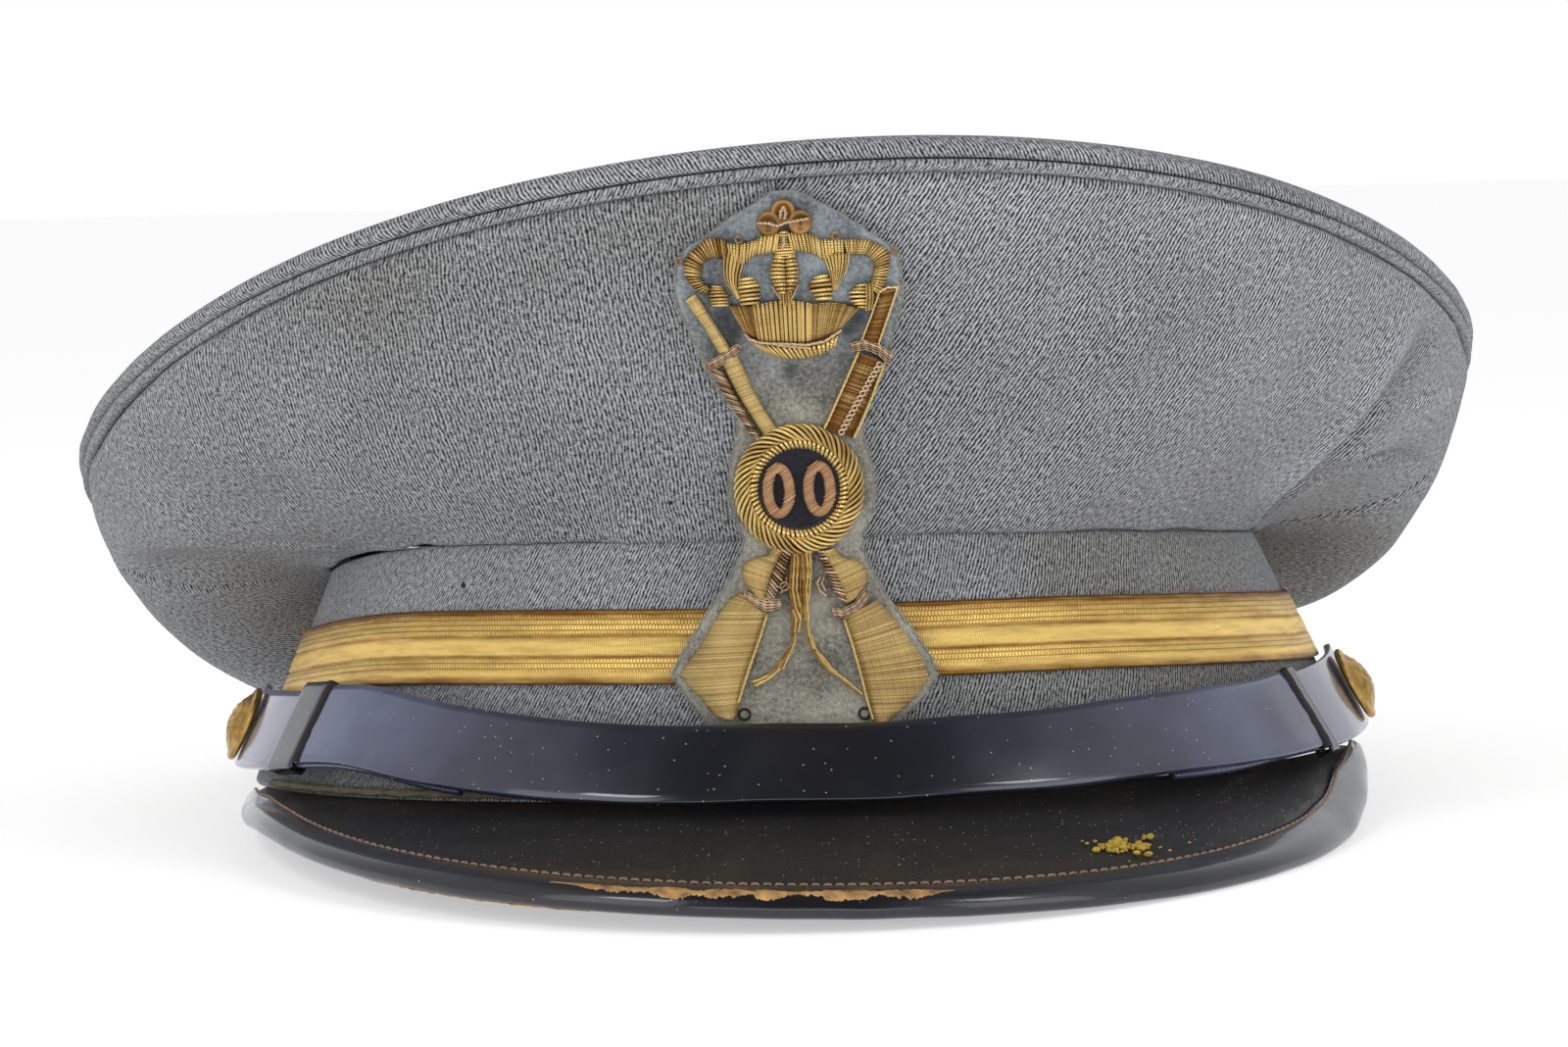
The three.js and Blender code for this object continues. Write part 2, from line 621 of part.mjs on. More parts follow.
const CROWN_OUTLINE = [
  [708, 262], [716, 254], [728, 246], [742, 240], [758, 246], [775, 246], [795, 241], [815, 239], [838, 241],
  [860, 248], [885, 249], [902, 254], [913, 263], [916, 276], [912, 290], [906, 303], [896, 308], [893, 317],
  [880, 318], [869, 330], [863, 342], [857, 355], [836, 363], [815, 365], [795, 361], [779, 350], [768, 341],
  [762, 328], [750, 312], [737, 309], [730, 300], [721, 290], [712, 277],
];

const CROWN_GAPS = [
  [[728, 268], [735, 262], [748, 263], [749, 275], [752, 288], [745, 288], [736, 287], [728, 279]],
  [[771, 270], [785, 262], [799, 260], [797, 275], [796, 290], [798, 304], [787, 307], [784, 292], [777, 283]],
  [[824, 260], [838, 261], [848, 268], [852, 277], [840, 283], [834, 293], [838, 303], [830, 311], [823, 306],
    [822, 295], [826, 280]],
  [[876, 265], [890, 264], [901, 270], [903, 283], [898, 292], [884, 294], [874, 299], [869, 290], [873, 278]],
];

const BUTT_LEFT = [
  [792, 571], [798, 578], [793, 596], [787, 612], [778, 626], [768, 652], [755, 692], [742, 722], [735, 732],
  [722, 732], [711, 721], [684, 689], [690, 672], [712, 644], [735, 616], [752, 606], [753, 590], [757, 577],
  [768, 570], [781, 570],
];

const BUTT_RIGHT = [
  [840, 571], [855, 570], [868, 575], [877, 583], [880, 597], [877, 610], [893, 620], [905, 640], [925, 672],
  [940, 700], [935, 706], [912, 725], [887, 743], [880, 743], [873, 720], [865, 680], [858, 645], [848, 628],
  [838, 600], [832, 580],
];

const BARREL_LEFT = [
  { x: 710, y: 299, half: 7.5 }, { x: 730, y: 331, half: 7.5 }, { x: 744, y: 355, half: 8.5 },
  { x: 746, y: 364, half: 14 }, { x: 764, y: 402, half: 14 }, { x: 779, y: 432, half: 14 },
];

const BARREL_RIGHT = [
  { x: 918, y: 303, half: 8 }, { x: 902, y: 335, half: 8.5 }, { x: 890, y: 356, half: 9 },
  { x: 889, y: 366, half: 15 }, { x: 871, y: 402, half: 15.5 }, { x: 855, y: 433, half: 16 },
];

const RIBBON_LEFT = [
  { x: 808, y: 571, half: 4.5 }, { x: 804, y: 600, half: 4.5 }, { x: 806, y: 638, half: 4 },
  { x: 801, y: 662, half: 3 }, { x: 788, y: 682, half: 3 }, { x: 766, y: 699, half: 3 },
];

const RIBBON_RIGHT = [
  { x: 820, y: 571, half: 4.5 }, { x: 820, y: 600, half: 4.5 }, { x: 817, y: 638, half: 4 },
  { x: 822, y: 664, half: 3 }, { x: 836, y: 686, half: 3 }, { x: 858, y: 703, half: 3 },
];

const loopAround = (x, y, radius, count) => Array.from({ length: count }, (_, i) => {
  const turn = i / count * 2 * Math.PI;
  const reach = radius(turn);
  return [x + reach[0] * Math.cos(turn), y - reach[1] * Math.sin(turn)];
});

function makeBadge() {
  const rows = BACKING.length - 1;
  const backing = (out) => (u, v) => {
    const { y, left, right } = BACKING[Math.round(v * rows)];
    return badgePoint([mix(left, right, u), y], out);
  };
  addWall('badge_backing', backing(FELT), backing(0), 6, rows, false, FELT_LOOK);
  const base = FELT + 1.5 * GAP;
  addPlate('badge_crown', CROWN_OUTLINE, CROWN_GAPS, base, RELIEF, GOLD_LOOK);
  const trefoil = loopAround(812, 222, (turn) => {
    const lobe = 14 + 4 * Math.cos(3 * (turn - Math.PI / 2));
    return [lobe, lobe];
  }, 18);
  addPlate('badge_rosette', trefoil, [], base, RELIEF, BUTTON_LOOK);
  addStrand('rifle_barrel_left', BARREL_LEFT, base, RELIEF, GOLD_LOOK);
  addStrand('rifle_barrel_right', BARREL_RIGHT, base, RELIEF, GOLD_LOOK);
  addPlate('rifle_butt_left', BUTT_LEFT, [], base, RELIEF, GOLD_LOOK);
  addPlate('rifle_butt_right', BUTT_RIGHT, [], base, RELIEF, GOLD_LOOK);
  addStrand('ribbon_left', RIBBON_LEFT, base, RELIEF * 0.8, GOLD_LOOK);
  addStrand('ribbon_right', RIBBON_RIGHT, base, RELIEF * 0.8, GOLD_LOOK);
  const rope = RING_SECTION.map(({ radius, rise }) => [radius, rise]);
  const section = (u) => rope.map(([radius, rise]) => {
    const turn = u * 2 * Math.PI;
    const spot = [BADGE_RING_X + radius * Math.cos(turn), BADGE_RING_Y - radius * Math.sin(turn)];
    return badgePoint(spot, base + rise);
  });
  addBar('badge_ring', section, 24, true, GOLD_LOOK);
  const disc = loopAround(BADGE_RING_X, BADGE_RING_Y, () => [40, 40], 20);
  addPlate('badge_disc', disc, [], base, DISC_THICKNESS, DISC_LOOK);
  for (const [name, x] of [['numeral_left', 794], ['numeral_right', 836]]) {
    const outer = loopAround(x, 501, () => [16.5, 29], 16);
    const hole = loopAround(x, 501, () => [6, 18], 12);
    addPlate(name, outer, [hole], base + DISC_THICKNESS + 2 * GAP, NUMERAL_RELIEF, THREAD_LOOK);
  }
}

makeBand();
makeQuarters();
makeRimWelt();
makeTop();
makePeak();
makeEdgeWelt();
makeStrap();
makeBadge();

cap.rotation.set(-TILT_BACK, -TILT_SIDE, 0);
cap.updateMatrixWorld(true);
const box = new THREE.Box3().setFromObject(cap, true);
const middle = box.getCenter(new THREE.Vector3());
cap.position.set(-middle.x, -middle.y, -box.min.z);

export default cap;
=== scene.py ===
import math

import bpy
import numpy as np
from bpy.props import FloatProperty, FloatVectorProperty, PointerProperty
from mathutils import Matrix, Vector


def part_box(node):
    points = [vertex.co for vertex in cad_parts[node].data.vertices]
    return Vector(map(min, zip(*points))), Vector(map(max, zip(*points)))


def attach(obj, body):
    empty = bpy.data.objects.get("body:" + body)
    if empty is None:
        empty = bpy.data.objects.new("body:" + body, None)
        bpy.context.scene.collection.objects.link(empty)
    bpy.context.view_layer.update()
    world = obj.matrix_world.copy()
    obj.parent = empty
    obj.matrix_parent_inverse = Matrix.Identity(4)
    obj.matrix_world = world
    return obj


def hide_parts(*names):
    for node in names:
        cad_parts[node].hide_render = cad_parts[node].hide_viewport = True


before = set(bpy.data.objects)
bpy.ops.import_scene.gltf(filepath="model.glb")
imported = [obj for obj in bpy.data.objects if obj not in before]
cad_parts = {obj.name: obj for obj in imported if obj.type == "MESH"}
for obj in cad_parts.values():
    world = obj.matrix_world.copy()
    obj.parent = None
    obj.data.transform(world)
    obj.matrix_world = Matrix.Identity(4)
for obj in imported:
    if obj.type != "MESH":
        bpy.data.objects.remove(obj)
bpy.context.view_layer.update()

bl_info = {
    "name": "Peaked cap",
    "version": (1, 0, 0),
    "blender": (4, 5, 0),
    "location": "View3D > Sidebar > Peaked cap",
    "description": "Builds the cloth, leather, braid and embroidery of a field-grey officer's cap",
    "category": "Add Mesh",
}

MM = 0.001
DEG = math.pi / 180
GAP = 0.3

# Shape of the cap in millimetres, as its solids have it
TILT_BACK = 3.64 * DEG
TILT_SIDE = 1.3 * DEG
BAND_LOW = (90.5, 97.0)
BAND_HIGH = (76.0, 91.0)
BAND_WALL = 2.2
BAND_HEIGHT = 34.5
# The band rises on its left, and the strap with it: height, then its middle and width in degrees
BAND_CORNER = (3.0, -50, 30)
CLOTH = 1.8
SEAM_STAND = 0.5
RIM_SIDE, RIM_FRONT, RIM_BACK = 114.0, 111.0, 117.5
RIM_SHIFT, RIM_HEIGHT, RIM_TILT = -1.4, 56.2, 26.3
RIM_SADDLE, RIM_LEAN, RIM_CORNERS = 5.55, 5.0, 0.65
WELT_HEIGHT, ROLL_HEIGHT = 1.5, 3.6
FRONT_SEAM = 0.9 * DEG
BRAID_BELOW, BRAID_WIDTH = 9.8, 11.0
PEAK_HALF_WIDTH, PEAK_LIP, PEAK_ENDS = 88.5, 141.0, 27.0
PEAK_DROP, PEAK_SIDES, PEAK_CROWN = 11.2, 3.7, 0.6
PEAK_TURN, PEAK_FOOT = 87 * DEG, 70 * DEG
PEAK_TWIST, EDGE_TWIST, PEAK_THICK = 0.052, 0.01, 1.7
FLAP, FOLD, PLATE_SHORT, BINDING_LEATHER = 4.6, 0.9, 1.3, 0.6
WELT_RADIUS, WELT_ANGLE = 0.65, 66 * DEG
STRAP_WIDTH, STRAP_THICK, STRAP_ANGLE = 13.4, 1.4, 83 * DEG
STRAP_LEAN = (38 * DEG, 25 * DEG)
STRAP_TOP = (8.8, 14.4)
STRAP_STAND = (3.2, 2.4)
STRAP_CUTS = (-53 * DEG, 55.5 * DEG)
STRAP_LIFT = (4.4, -48, 20)
STRAP_LAP = 22 * DEG
# The keepers: side, first and last angle in degrees
KEEPERS = (("left", -59.6, -54.0), ("right", 56.5, 58.3))
# Millimetres along the strap and along the binding for one radian, for textures and slow sways
STRAP_ARC, LIP_ARC = 95, 105
BUTTON_ANGLE = 77 * DEG

# The photograph's view: place in millimetres, angles, and lens and sensor in millimetres
CAMERA_PLACE = (-2.0, -741.06, 97.5)
CAMERA_DOWN, CAMERA_ROLL = 4.6 * DEG, 1.5 * DEG
CAMERA_LENS, CAMERA_SENSOR = 102.85, 36

# The badge's tables are in pixels of the photograph turned level, 0.14 mm each, from the centre of its ring
PIXEL = 0.14
RING_CENTRE = (815.0, 500.0)
RING_HEIGHT = 44.3
BADGE_KINK, BADGE_FRONT, BADGE_SIDEWAYS = 42, -91.95, 1.3
FELT_THICK = 1.2


def linear(hexa):
    """sRGB hex to linear: c / 12.92 below 0.04045, else ((c + 0.055) / 1.055) ** 2.4."""
    parts = [int(hexa[i:i + 2], 16) / 255 for i in (1, 3, 5)]
    return tuple(c / 12.92 if c <= 0.04045 else ((c + 0.055) / 1.055) ** 2.4 for c in parts)


def mix(a, b, t):
    return a + (b - a) * t


def bell(x, width):
    return np.exp(-(x * x) / (width * width))


def smooth(x):
    t = np.clip(x, 0, 1)
    return t * t * (3 - 2 * t)


def turn_from(angle, degrees):
    return (np.asarray(angle) / DEG - degrees + 180) % 360 - 180


def unit(v):
    return v / np.maximum(np.linalg.norm(v, axis=-1, keepdims=True), 1e-9)


def ripple(x, y, seed, size):
    """A smooth random height from -1 to 1: the mean of 9 sine waves in random directions, about size long."""
    rng = np.random.default_rng(seed)
    total = np.zeros(np.broadcast(x, y).shape)
    for _ in range(9):
        heading, length, phase = rng.uniform(0, 2 * math.pi), size * rng.uniform(0.6, 1.7), rng.uniform(0, 6.3)
        total += np.sin((x * math.cos(heading) + y * math.sin(heading)) * 2 * math.pi / length + phase)
    return total / 4


# The cap's own frame and how it stands
def stand(points):
    """Turns points of the cap's frame back and sideways as it lies: Rx(-back) Ry(-side) p."""
    cb, sb, cs, ss = math.cos(TILT_BACK), math.sin(TILT_BACK), math.cos(TILT_SIDE), math.sin(TILT_SIDE)
    turn_x = np.array([[1, 0, 0], [0, cb, sb], [0, -sb, cb]])
    turn_y = np.array([[cs, 0, -ss], [0, 1, 0], [ss, 0, cs]])
    return points @ (turn_x @ turn_y).T


def wave(angle, mean, *terms):
    return mean + sum(term * np.cos((k + 1) * angle) for k, term in enumerate(terms))


def band_top(angle):
    rise, middle, width = BAND_CORNER
    return BAND_HEIGHT + np.cos(angle) + 1.5 * np.cos(2 * angle) + rise * bell(turn_from(angle, middle), width)


def band_point(angle, height, out):
    """The band is an elliptic cone: its half sizes change with height, out is along the ellipse's normal."""
    angle, height, out = np.broadcast_arrays(angle, height, out)
    t = height / band_top(angle)
    wide, long = mix(BAND_LOW[0], BAND_HIGH[0], t), mix(BAND_LOW[1], BAND_HIGH[1], t)
    normal = unit(np.stack([np.sin(angle) / wide, -np.cos(angle) / long], -1))
    return np.stack([wide * np.sin(angle) + out * normal[..., 0],
                     -long * np.cos(angle) + out * normal[..., 1], height + 0.0], -1)


def rim_ring(angle, out, up):
    """The rim: an egg-shaped ring whose height is a few cosine waves round the cap."""
    angle, out, up = np.broadcast_arrays(angle, out, up)
    long = np.where(np.cos(angle) > 0, RIM_FRONT, RIM_BACK)
    normal = unit(np.stack([np.sin(angle) / RIM_SIDE, -np.cos(angle) / RIM_BACK], -1))
    waves = wave(angle, RIM_CORNERS, RIM_TILT, RIM_SADDLE, 0, -RIM_CORNERS)
    return np.stack([RIM_SHIFT + RIM_SIDE * np.sin(angle) + out * normal[..., 0],
                     -long * np.cos(angle) + out * normal[..., 1],
                     RIM_HEIGHT + waves + RIM_LEAN * np.sin(angle) + up], -1)


def crown_sheet(angle, rise):
    """The crown's side: at each angle a cubic Bezier curve from the band's top (rise 0) to the rim (rise 1)."""
    start = band_point(angle, band_top(angle) + GAP, SEAM_STAND)
    end = rim_ring(angle, 0, 0)
    outward = unit((end - start) * np.array([1, 1, 0]))
    launch = (wave(angle, -6, 66.4, 6, -1.4, 10) + 21 * bell(turn_from(angle, 80), 30)) * DEG
    belly = 4 * bell(turn_from(angle, -108), 38) + 3 * bell(turn_from(angle, 92), 34)
    pull = wave(angle, 24, -6.8, 1, 2.8, -1) + belly
    arrive = wave(angle, 82.8, -16, 2) * DEG
    arrive_pull = wave(angle, 19, -6.7, 4.5, 2.7) + belly
    droop = 7 * bell(turn_from(angle, -125), 32) + 6.5 * bell(turn_from(angle, 112), 30)
    up = np.array([0, 0, 1.0])
    first = start + outward * (np.cos(launch) * pull)[..., None] + up * (np.sin(launch) * pull - droop)[..., None]
    second = (end - outward * (np.cos(arrive) * arrive_pull)[..., None]
              - up * (np.sin(arrive) * arrive_pull + droop)[..., None])
    r, b = rise[..., None], 1 - rise[..., None]
    return b ** 3 * start + 3 * b * b * r * first + 3 * b * r * r * second + r ** 3 * end


# Folds up the crown: angle at the foot, lean, bend near the foot (degrees), width, span of the rise, height in mm
FOLDS = [
    (-62, -22, 0, 6, 0.02, 0.75, 2.2), (-74, -22, 0, 6, 0.02, 0.8, -2.4),
    (73, 0, -11.5, 2.4, 0.0, 1.0, 1.7), (77.5, 0, -11.5, 2.6, 0.0, 1.0, -2.2),
    (78, 14, -12, 3.0, 0.02, 0.8, 1.3), (80, 48, -24, 2.2, 0.02, 0.62, -2.0), (56, 6, 0, 7, 0.1, 0.95, 0.8),
]
CREASES = [
    (-67, -26, 0, 2.2, 0.03, 0.55, -0.9), (-57, -34, 0, 2.0, 0.02, 0.42, -0.7),
    (-80, -16, 0, 3.0, 0.05, 0.6, -0.8),
    (56, 22, 0, 2.0, 0.35, 0.95, -0.8), (98, 30, -14, 3.5, 0.05, 0.6, 0.8), (52, -4, 0, 2.6, 0.2, 0.95, -0.6),
    (30, -6, 0, 6, 0.1, 0.9, -0.5), (-30, 6, 0, 7, 0.2, 0.9, -0.4), (-115, -8, 0, 6, 0.1, 0.8, 0.8),
]
# Patches painted darker and lighter on the crown, partly soil and partly painted shade and highlight along its folds
# and low sides: angle, rise, their widths, and how much darker or lighter
SOIL_AND_SHADE = [
    (-24, 0.88, 24, 0.24, -0.24), (66, 0.82, 15, 0.28, -0.15), (99, 0.25, 14, 0.4, -0.28),
    (62, 0.2, 6, 0.16, 0.42),
    (4, 0.4, 12, 0.4, -0.06), (-86, 0.2, 10, 0.3, -0.14), (30, 0.95, 20, 0.15, 0.06), (-50, 0.5, 12, 0.3, -0.04),
]


def fold_height(angle, rise, table):
    """Sum of ridges: height * bell(angle from the leaning, bending middle) * sin squared along the span."""
    total = np.zeros(np.broadcast(angle, rise).shape)
    for middle, lean, bend, width, low, high, height in table:
        crest = middle + lean * rise + bend * (1 - np.exp(-8 * rise))
        across = bell(turn_from(angle, 0) - crest, width)
        span = np.clip((rise - low) / (high - low), 0, 1)
        total += height * across * np.sin(math.pi * span) ** 0.8
    return total


def sheet_normals(grid, outward):
    """Unit normals of a grid of points, turned to the side of the given outward direction."""
    normal = unit(np.cross(np.gradient(grid, axis=1), np.gradient(grid, axis=0)))
    return normal * np.where(np.sum(normal * outward) < 0, -1, 1)


def top_height(angle, share):
    base = 2 * GAP + WELT_HEIGHT + ROLL_HEIGHT + RIM_HEIGHT
    tilt = share * (RIM_TILT * np.cos(angle) + RIM_LEAN * np.sin(angle))
    saddle = share ** 2 * RIM_SADDLE * np.cos(2 * angle)
    corners = RIM_CORNERS * share ** 4 * (1 - np.cos(4 * angle))
    return base + tilt + saddle + corners - 3 * (1 - share ** 2) + 1.2 * bell(share - 0.93, 0.06)


def peak_edge(turn):
    return band_point(np.sign(turn) * PEAK_FOOT * np.abs(turn / PEAK_TURN) ** 1.26, 0, GAP + 0.1)


def peak_lip(turn):
    cosine = np.maximum(np.cos(turn), 0)
    drop = PEAK_DROP * cosine ** 1.1 + PEAK_SIDES * np.sin(turn) ** 2 * cosine ** 0.5
    return np.stack([PEAK_HALF_WIDTH * np.sin(turn), -(PEAK_ENDS + (PEAK_LIP - PEAK_ENDS) * cosine), -drop], -1)


def peak_reach(turn):
    return np.linalg.norm((peak_lip(turn) - peak_edge(turn))[..., :2], axis=-1)


def peak_point(turn, share, down):
    """The peak: straight lines from the band's foot to the lip, slightly domed, and twisted across its width."""
    turn, share, down = np.broadcast_arrays(turn, share, down)
    edge, lip = peak_edge(turn), peak_lip(turn)
    dome = PEAK_CROWN * np.sin(math.pi * share) * np.cos(turn)
    twist = lip[..., 0] * mix(EDGE_TWIST, PEAK_TWIST * smooth(2.2 * np.cos(turn)), share)
    flat = mix(edge[..., :2], lip[..., :2], share[..., None])
    height = mix(-GAP, lip[..., 2], share) + dome - twist - down
    return np.concatenate([flat, height[..., None]], -1)


def strap_point(angle, across, out):
    """The strap's lower layer: across goes from its lower edge (0) to its upper edge (1), out is off its face."""
    angle, across, out = np.broadcast_arrays(angle, across, out)
    side = np.abs(angle / STRAP_ANGLE) ** 1.6
    lean, top, off = (mix(a, b, side) for a, b in (STRAP_LEAN, STRAP_TOP, STRAP_STAND))
    rise, middle, width = STRAP_LIFT
    top = top + rise * bell(turn_from(angle, middle), width)
    start, beyond = band_point(angle, top, off), band_point(angle, top, off + 1)
    normal = (beyond - start)[..., :2]
    down = STRAP_WIDTH * (1 - across)
    reach = down * np.sin(lean) + out * np.cos(lean)
    height = start[..., 2] - down * np.cos(lean) + out * np.sin(lean) - start[..., 0] * EDGE_TWIST
    return np.concatenate([start[..., :2] + normal * reach[..., None], height[..., None]], -1)


def badge_point(spots, out):
    """Photo pixels to the badge's smooth front, which bridges the kink between band and crown."""
    spots = np.asarray(spots, float)
    across = (spots[..., 0] - RING_CENTRE[0]) * PIXEL
    height = RING_HEIGHT + (RING_CENTRE[1] - spots[..., 1]) * PIXEL
    above = height - BADGE_KINK
    front = BADGE_FRONT - 0.14 * above - 0.29 * np.hypot(above, 8)
    x = BADGE_SIDEWAYS + across
    roundness = mix(0.0066, 0.0034, np.clip((height - 30) / 50, 0, 1))
    return np.stack([x, front + roundness * x * x - out, height], -1)


def find_shift():
    """Where the cap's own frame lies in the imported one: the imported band's lowest corner less the computed one."""
    angle = np.arange(64) / 64 * 2 * math.pi
    rings = [stand(band_point(angle, level, 0)) for level in (np.zeros(64), band_top(angle))]
    return np.array(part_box("band")[0]) / MM - np.concatenate(rings).min(0)


SHIFT = find_shift()


# Meshes from grids of points
def grid_faces(rows, columns, wrap_rows=False, wrap_columns=False):
    """Quads of a grid as corner indices, and the same quads on the wider grid that holds the UVs."""
    r = np.arange(rows if wrap_rows else rows - 1)[:, None]
    c = np.arange(columns if wrap_columns else columns - 1)[None, :]
    below, beside = (r + 1) % rows, (c + 1) % columns
    quads = [r * columns + c, r * columns + beside, below * columns + beside, below * columns + c]
    wide = columns + (1 if wrap_columns else 0)
    spots = [r * wide + c, r * wide + c + 1, (r + 1) * wide + c + 1, (r + 1) * wide + c]
    return (np.stack(np.broadcast_arrays(*quads), -1).reshape(-1, 4),
            np.stack(np.broadcast_arrays(*spots), -1).reshape(-1, 4))


class Work:
    """Collects closed surfaces, in millimetres of the cap's frame, and writes them into one mesh."""

    def __init__(self):
        self.points, self.quads, self.uvs, self.caps, self.tints, self.count = [], [], [], [], [], 0

    def grid(self, points, uv, wrap_rows=False, wrap_columns=False, caps=(), tint=0.5):
        """Adds a grid of points (rows, columns, 3); uv is in mm; caps are index lists that close its ends."""
        rows, columns = points.shape[:2]
        quads, spots = grid_faces(rows, columns, wrap_rows, wrap_columns)
        flat = points.reshape(-1, 3)
        picked = flat[quads]
        cross = np.cross(picked[:, 1] - picked[:, 0], picked[:, 2] - picked[:, 0]) \
            + np.cross(picked[:, 2] - picked[:, 0], picked[:, 3] - picked[:, 0])
        loops = [np.asarray(cap) for cap in caps]
        volume = np.sum((picked.mean(1) - flat.mean(0)) * cross)
        if volume < 0:
            quads, spots = quads[:, ::-1], spots[:, ::-1]
        for cap in loops:
            ring = flat[cap]
            facing = np.cross(ring - ring.mean(0), np.roll(ring, -1, 0) - ring.mean(0)).sum(0)
            outside = np.dot(facing, ring.mean(0) - flat.mean(0)) > 0
            self.caps.append((cap if outside else cap[::-1]) + self.count)
        self.points.append(flat)
        self.quads.append(quads + self.count)
        self.uvs.append(uv.reshape(-1, 2)[spots])
        self.tints.append(np.broadcast_to(np.asarray(tint, float).reshape(-1, 1), (rows, columns)).ravel()
                          if np.ndim(tint) else np.full(len(flat), float(tint)))
        self.count += len(flat)

    def shell(self, outer, inner, uv, around=False, tint=0.5):
        """Adds a wall between two sheets: their rows follow each other round the wall's section."""
        rows, columns = outer.shape[:2]
        points = np.concatenate([outer, inner[::-1]])
        wide = np.concatenate([uv, uv[::-1], uv[:1]])
        if around:
            self.grid(points, wide, True, True, (), tint)
            return
        strips = []
        for column in (0, columns - 1):
            a = np.arange(rows - 1)
            o, i = a * columns + column, (2 * rows - 1 - a) * columns + column
            strips.append(np.stack([o, o + columns, i - columns, i], -1))
        before = self.count
        self.grid(points, wide, True, False, (), tint)
        flat = points.reshape(-1, 3)
        for strip in strips:
            ring = flat[strip]
            facing = np.cross(ring[:, 1] - ring[:, 0], ring[:, 2] - ring[:, 0]).sum(0)
            outside = np.dot(facing, ring.mean((0, 1)) - flat.mean(0)) > 0
            self.quads.append((strip if outside else strip[:, ::-1]) + before)
            self.uvs.append(np.zeros((len(strip), 4, 2)))

    def strands(self, paths, radius, sides=7, lobes=0, depth=0.0, pitch=1.0, flat=1.0, tint=None,
                facing=(0, -1, 0)):
        """Adds tubes along paths (n, m, 3): ring = path + r (cos t side + flat sin t up), with twisted lobes."""
        n, m = paths.shape[:2]
        tangent = unit(np.gradient(paths, axis=1))
        up = np.broadcast_to(np.asarray(facing, float), paths.shape)
        up = unit(up - np.sum(up * tangent, -1, keepdims=True) * tangent)
        side = np.cross(tangent, up)
        arc = np.concatenate([np.zeros((n, 1)), np.cumsum(np.linalg.norm(np.diff(paths, axis=1), axis=-1), 1)], 1)
        turn = np.arange(sides + 1) / sides * 2 * math.pi
        swell = 1 + depth * np.cos(lobes * turn[None, None, :] - 2 * math.pi * arc[..., None] / pitch)
        reach = np.broadcast_to(np.asarray(radius, float), (n, m))[..., None] * swell
        rings = (paths[:, :, None] + side[:, :, None] * (reach * np.cos(turn))[..., None]
                 + up[:, :, None] * (flat * reach * np.sin(turn))[..., None])[:, :, :-1]
        mean = float(np.mean(np.asarray(radius)))
        uv = np.stack(np.broadcast_arrays(turn[None, None] * mean, arc[..., None]), -1)
        quads, spots = grid_faces(m, sides, False, True)
        offset = np.arange(n)[:, None, None]
        sample = rings[0].reshape(-1, 3)[quads]
        cross = np.cross(sample[:, 1] - sample[:, 0], sample[:, 2] - sample[:, 0])
        if np.sum((sample.mean(1) - np.repeat(paths[0, :-1], sides, 0)) * cross) < 0:
            quads, spots = quads[:, ::-1], spots[:, ::-1]
        self.points.append(rings.reshape(-1, 3))
        self.quads.append((quads[None] + offset * m * sides).reshape(-1, 4) + self.count)
        self.uvs.append(uv.reshape(-1, 2)[(spots[None] + offset * m * (sides + 1)).reshape(-1, 4)])
        first = np.arange(sides)
        for k in range(n):
            for start, step in ((0, 1), ((m - 1) * sides, -1)):
                ring = rings[k].reshape(-1, 3)[first + start]
                facing_out = np.cross(ring - ring.mean(0), np.roll(ring, -1, 0) - ring.mean(0)).sum(0)
                outside = np.dot(facing_out, -tangent[k, 0] if step == 1 else tangent[k, -1]) > 0
                order = first if outside else first[::-1]
                self.caps.append(order + start + k * m * sides + self.count)
        tint = np.full(n, 0.5) if tint is None else np.asarray(tint, float)
        self.tints.append(np.repeat(tint, m * sides))
        self.count += n * m * sides

    def write(self, name, material, slot, replaced=(), soft=True):
        """Writes the mesh in metres of the row's frame, with its UV in mm and a tint for each surface."""
        points = (stand(np.concatenate(self.points)) + SHIFT) * MM
        quads, uvs = np.concatenate(self.quads), np.concatenate(self.uvs)
        faces = quads.tolist() + [cap.tolist() for cap in self.caps]
        mesh = bpy.data.meshes.new(name)
        mesh.from_pydata(points.tolist(), [], faces)
        layer = mesh.uv_layers.new(name="cut")
        corners = np.zeros((len(mesh.loops), 2), np.float32)
        corners[:quads.size] = uvs.reshape(-1, 2)
        layer.data.foreach_set("uv", corners.ravel())
        tint = mesh.attributes.new("tint", "FLOAT", "POINT")
        tint.data.foreach_set("value", np.concatenate(self.tints).astype(np.float32))
        mesh.polygons.foreach_set("use_smooth", [soft] * len(mesh.polygons))
        mesh.materials.append(material)
        piece = bpy.data.objects.new(name, mesh)
        bpy.context.scene.collection.objects.link(piece)
        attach(piece, "root")
        if replaced:
            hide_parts(*replaced)
        return piece


def smooth_curve(points, count):
    """A table's broken line, resampled by its length and rounded by a running mean of five points."""
    points = np.asarray(points, float)
    length = np.concatenate([[0], np.cumsum(np.linalg.norm(np.diff(points, axis=0), axis=1))])
    fine = np.linspace(0, length[-1], max(60, 3 * count))
    line = np.stack([np.interp(fine, length, points[:, k]) for k in range(points.shape[1])], -1)
    padded = np.concatenate([line[:1]] * 2 + [line] + [line[-1:]] * 2)
    line = sum(padded[k:k + len(fine)] for k in range(5)) / 5
    return np.stack([np.interp(np.linspace(0, length[-1], count), fine,
                               line[:, k]) for k in range(points.shape[1])], -1)


# Materials
def add(tree, kind, inputs=None, **settings):
    """Adds a node with its settings, and its inputs as values or as links from other nodes' sockets."""
    node = tree.nodes.new(kind)
    for key, value in settings.items():
        setattr(node, key, value)
    for key, value in (inputs or {}).items():
        if isinstance(value, bpy.types.NodeSocket):
            tree.links.new(value, node.inputs[key])
        else:
            node.inputs[key].default_value = value
    return node


def rgba(colour):
    return (*colour, 1.0)


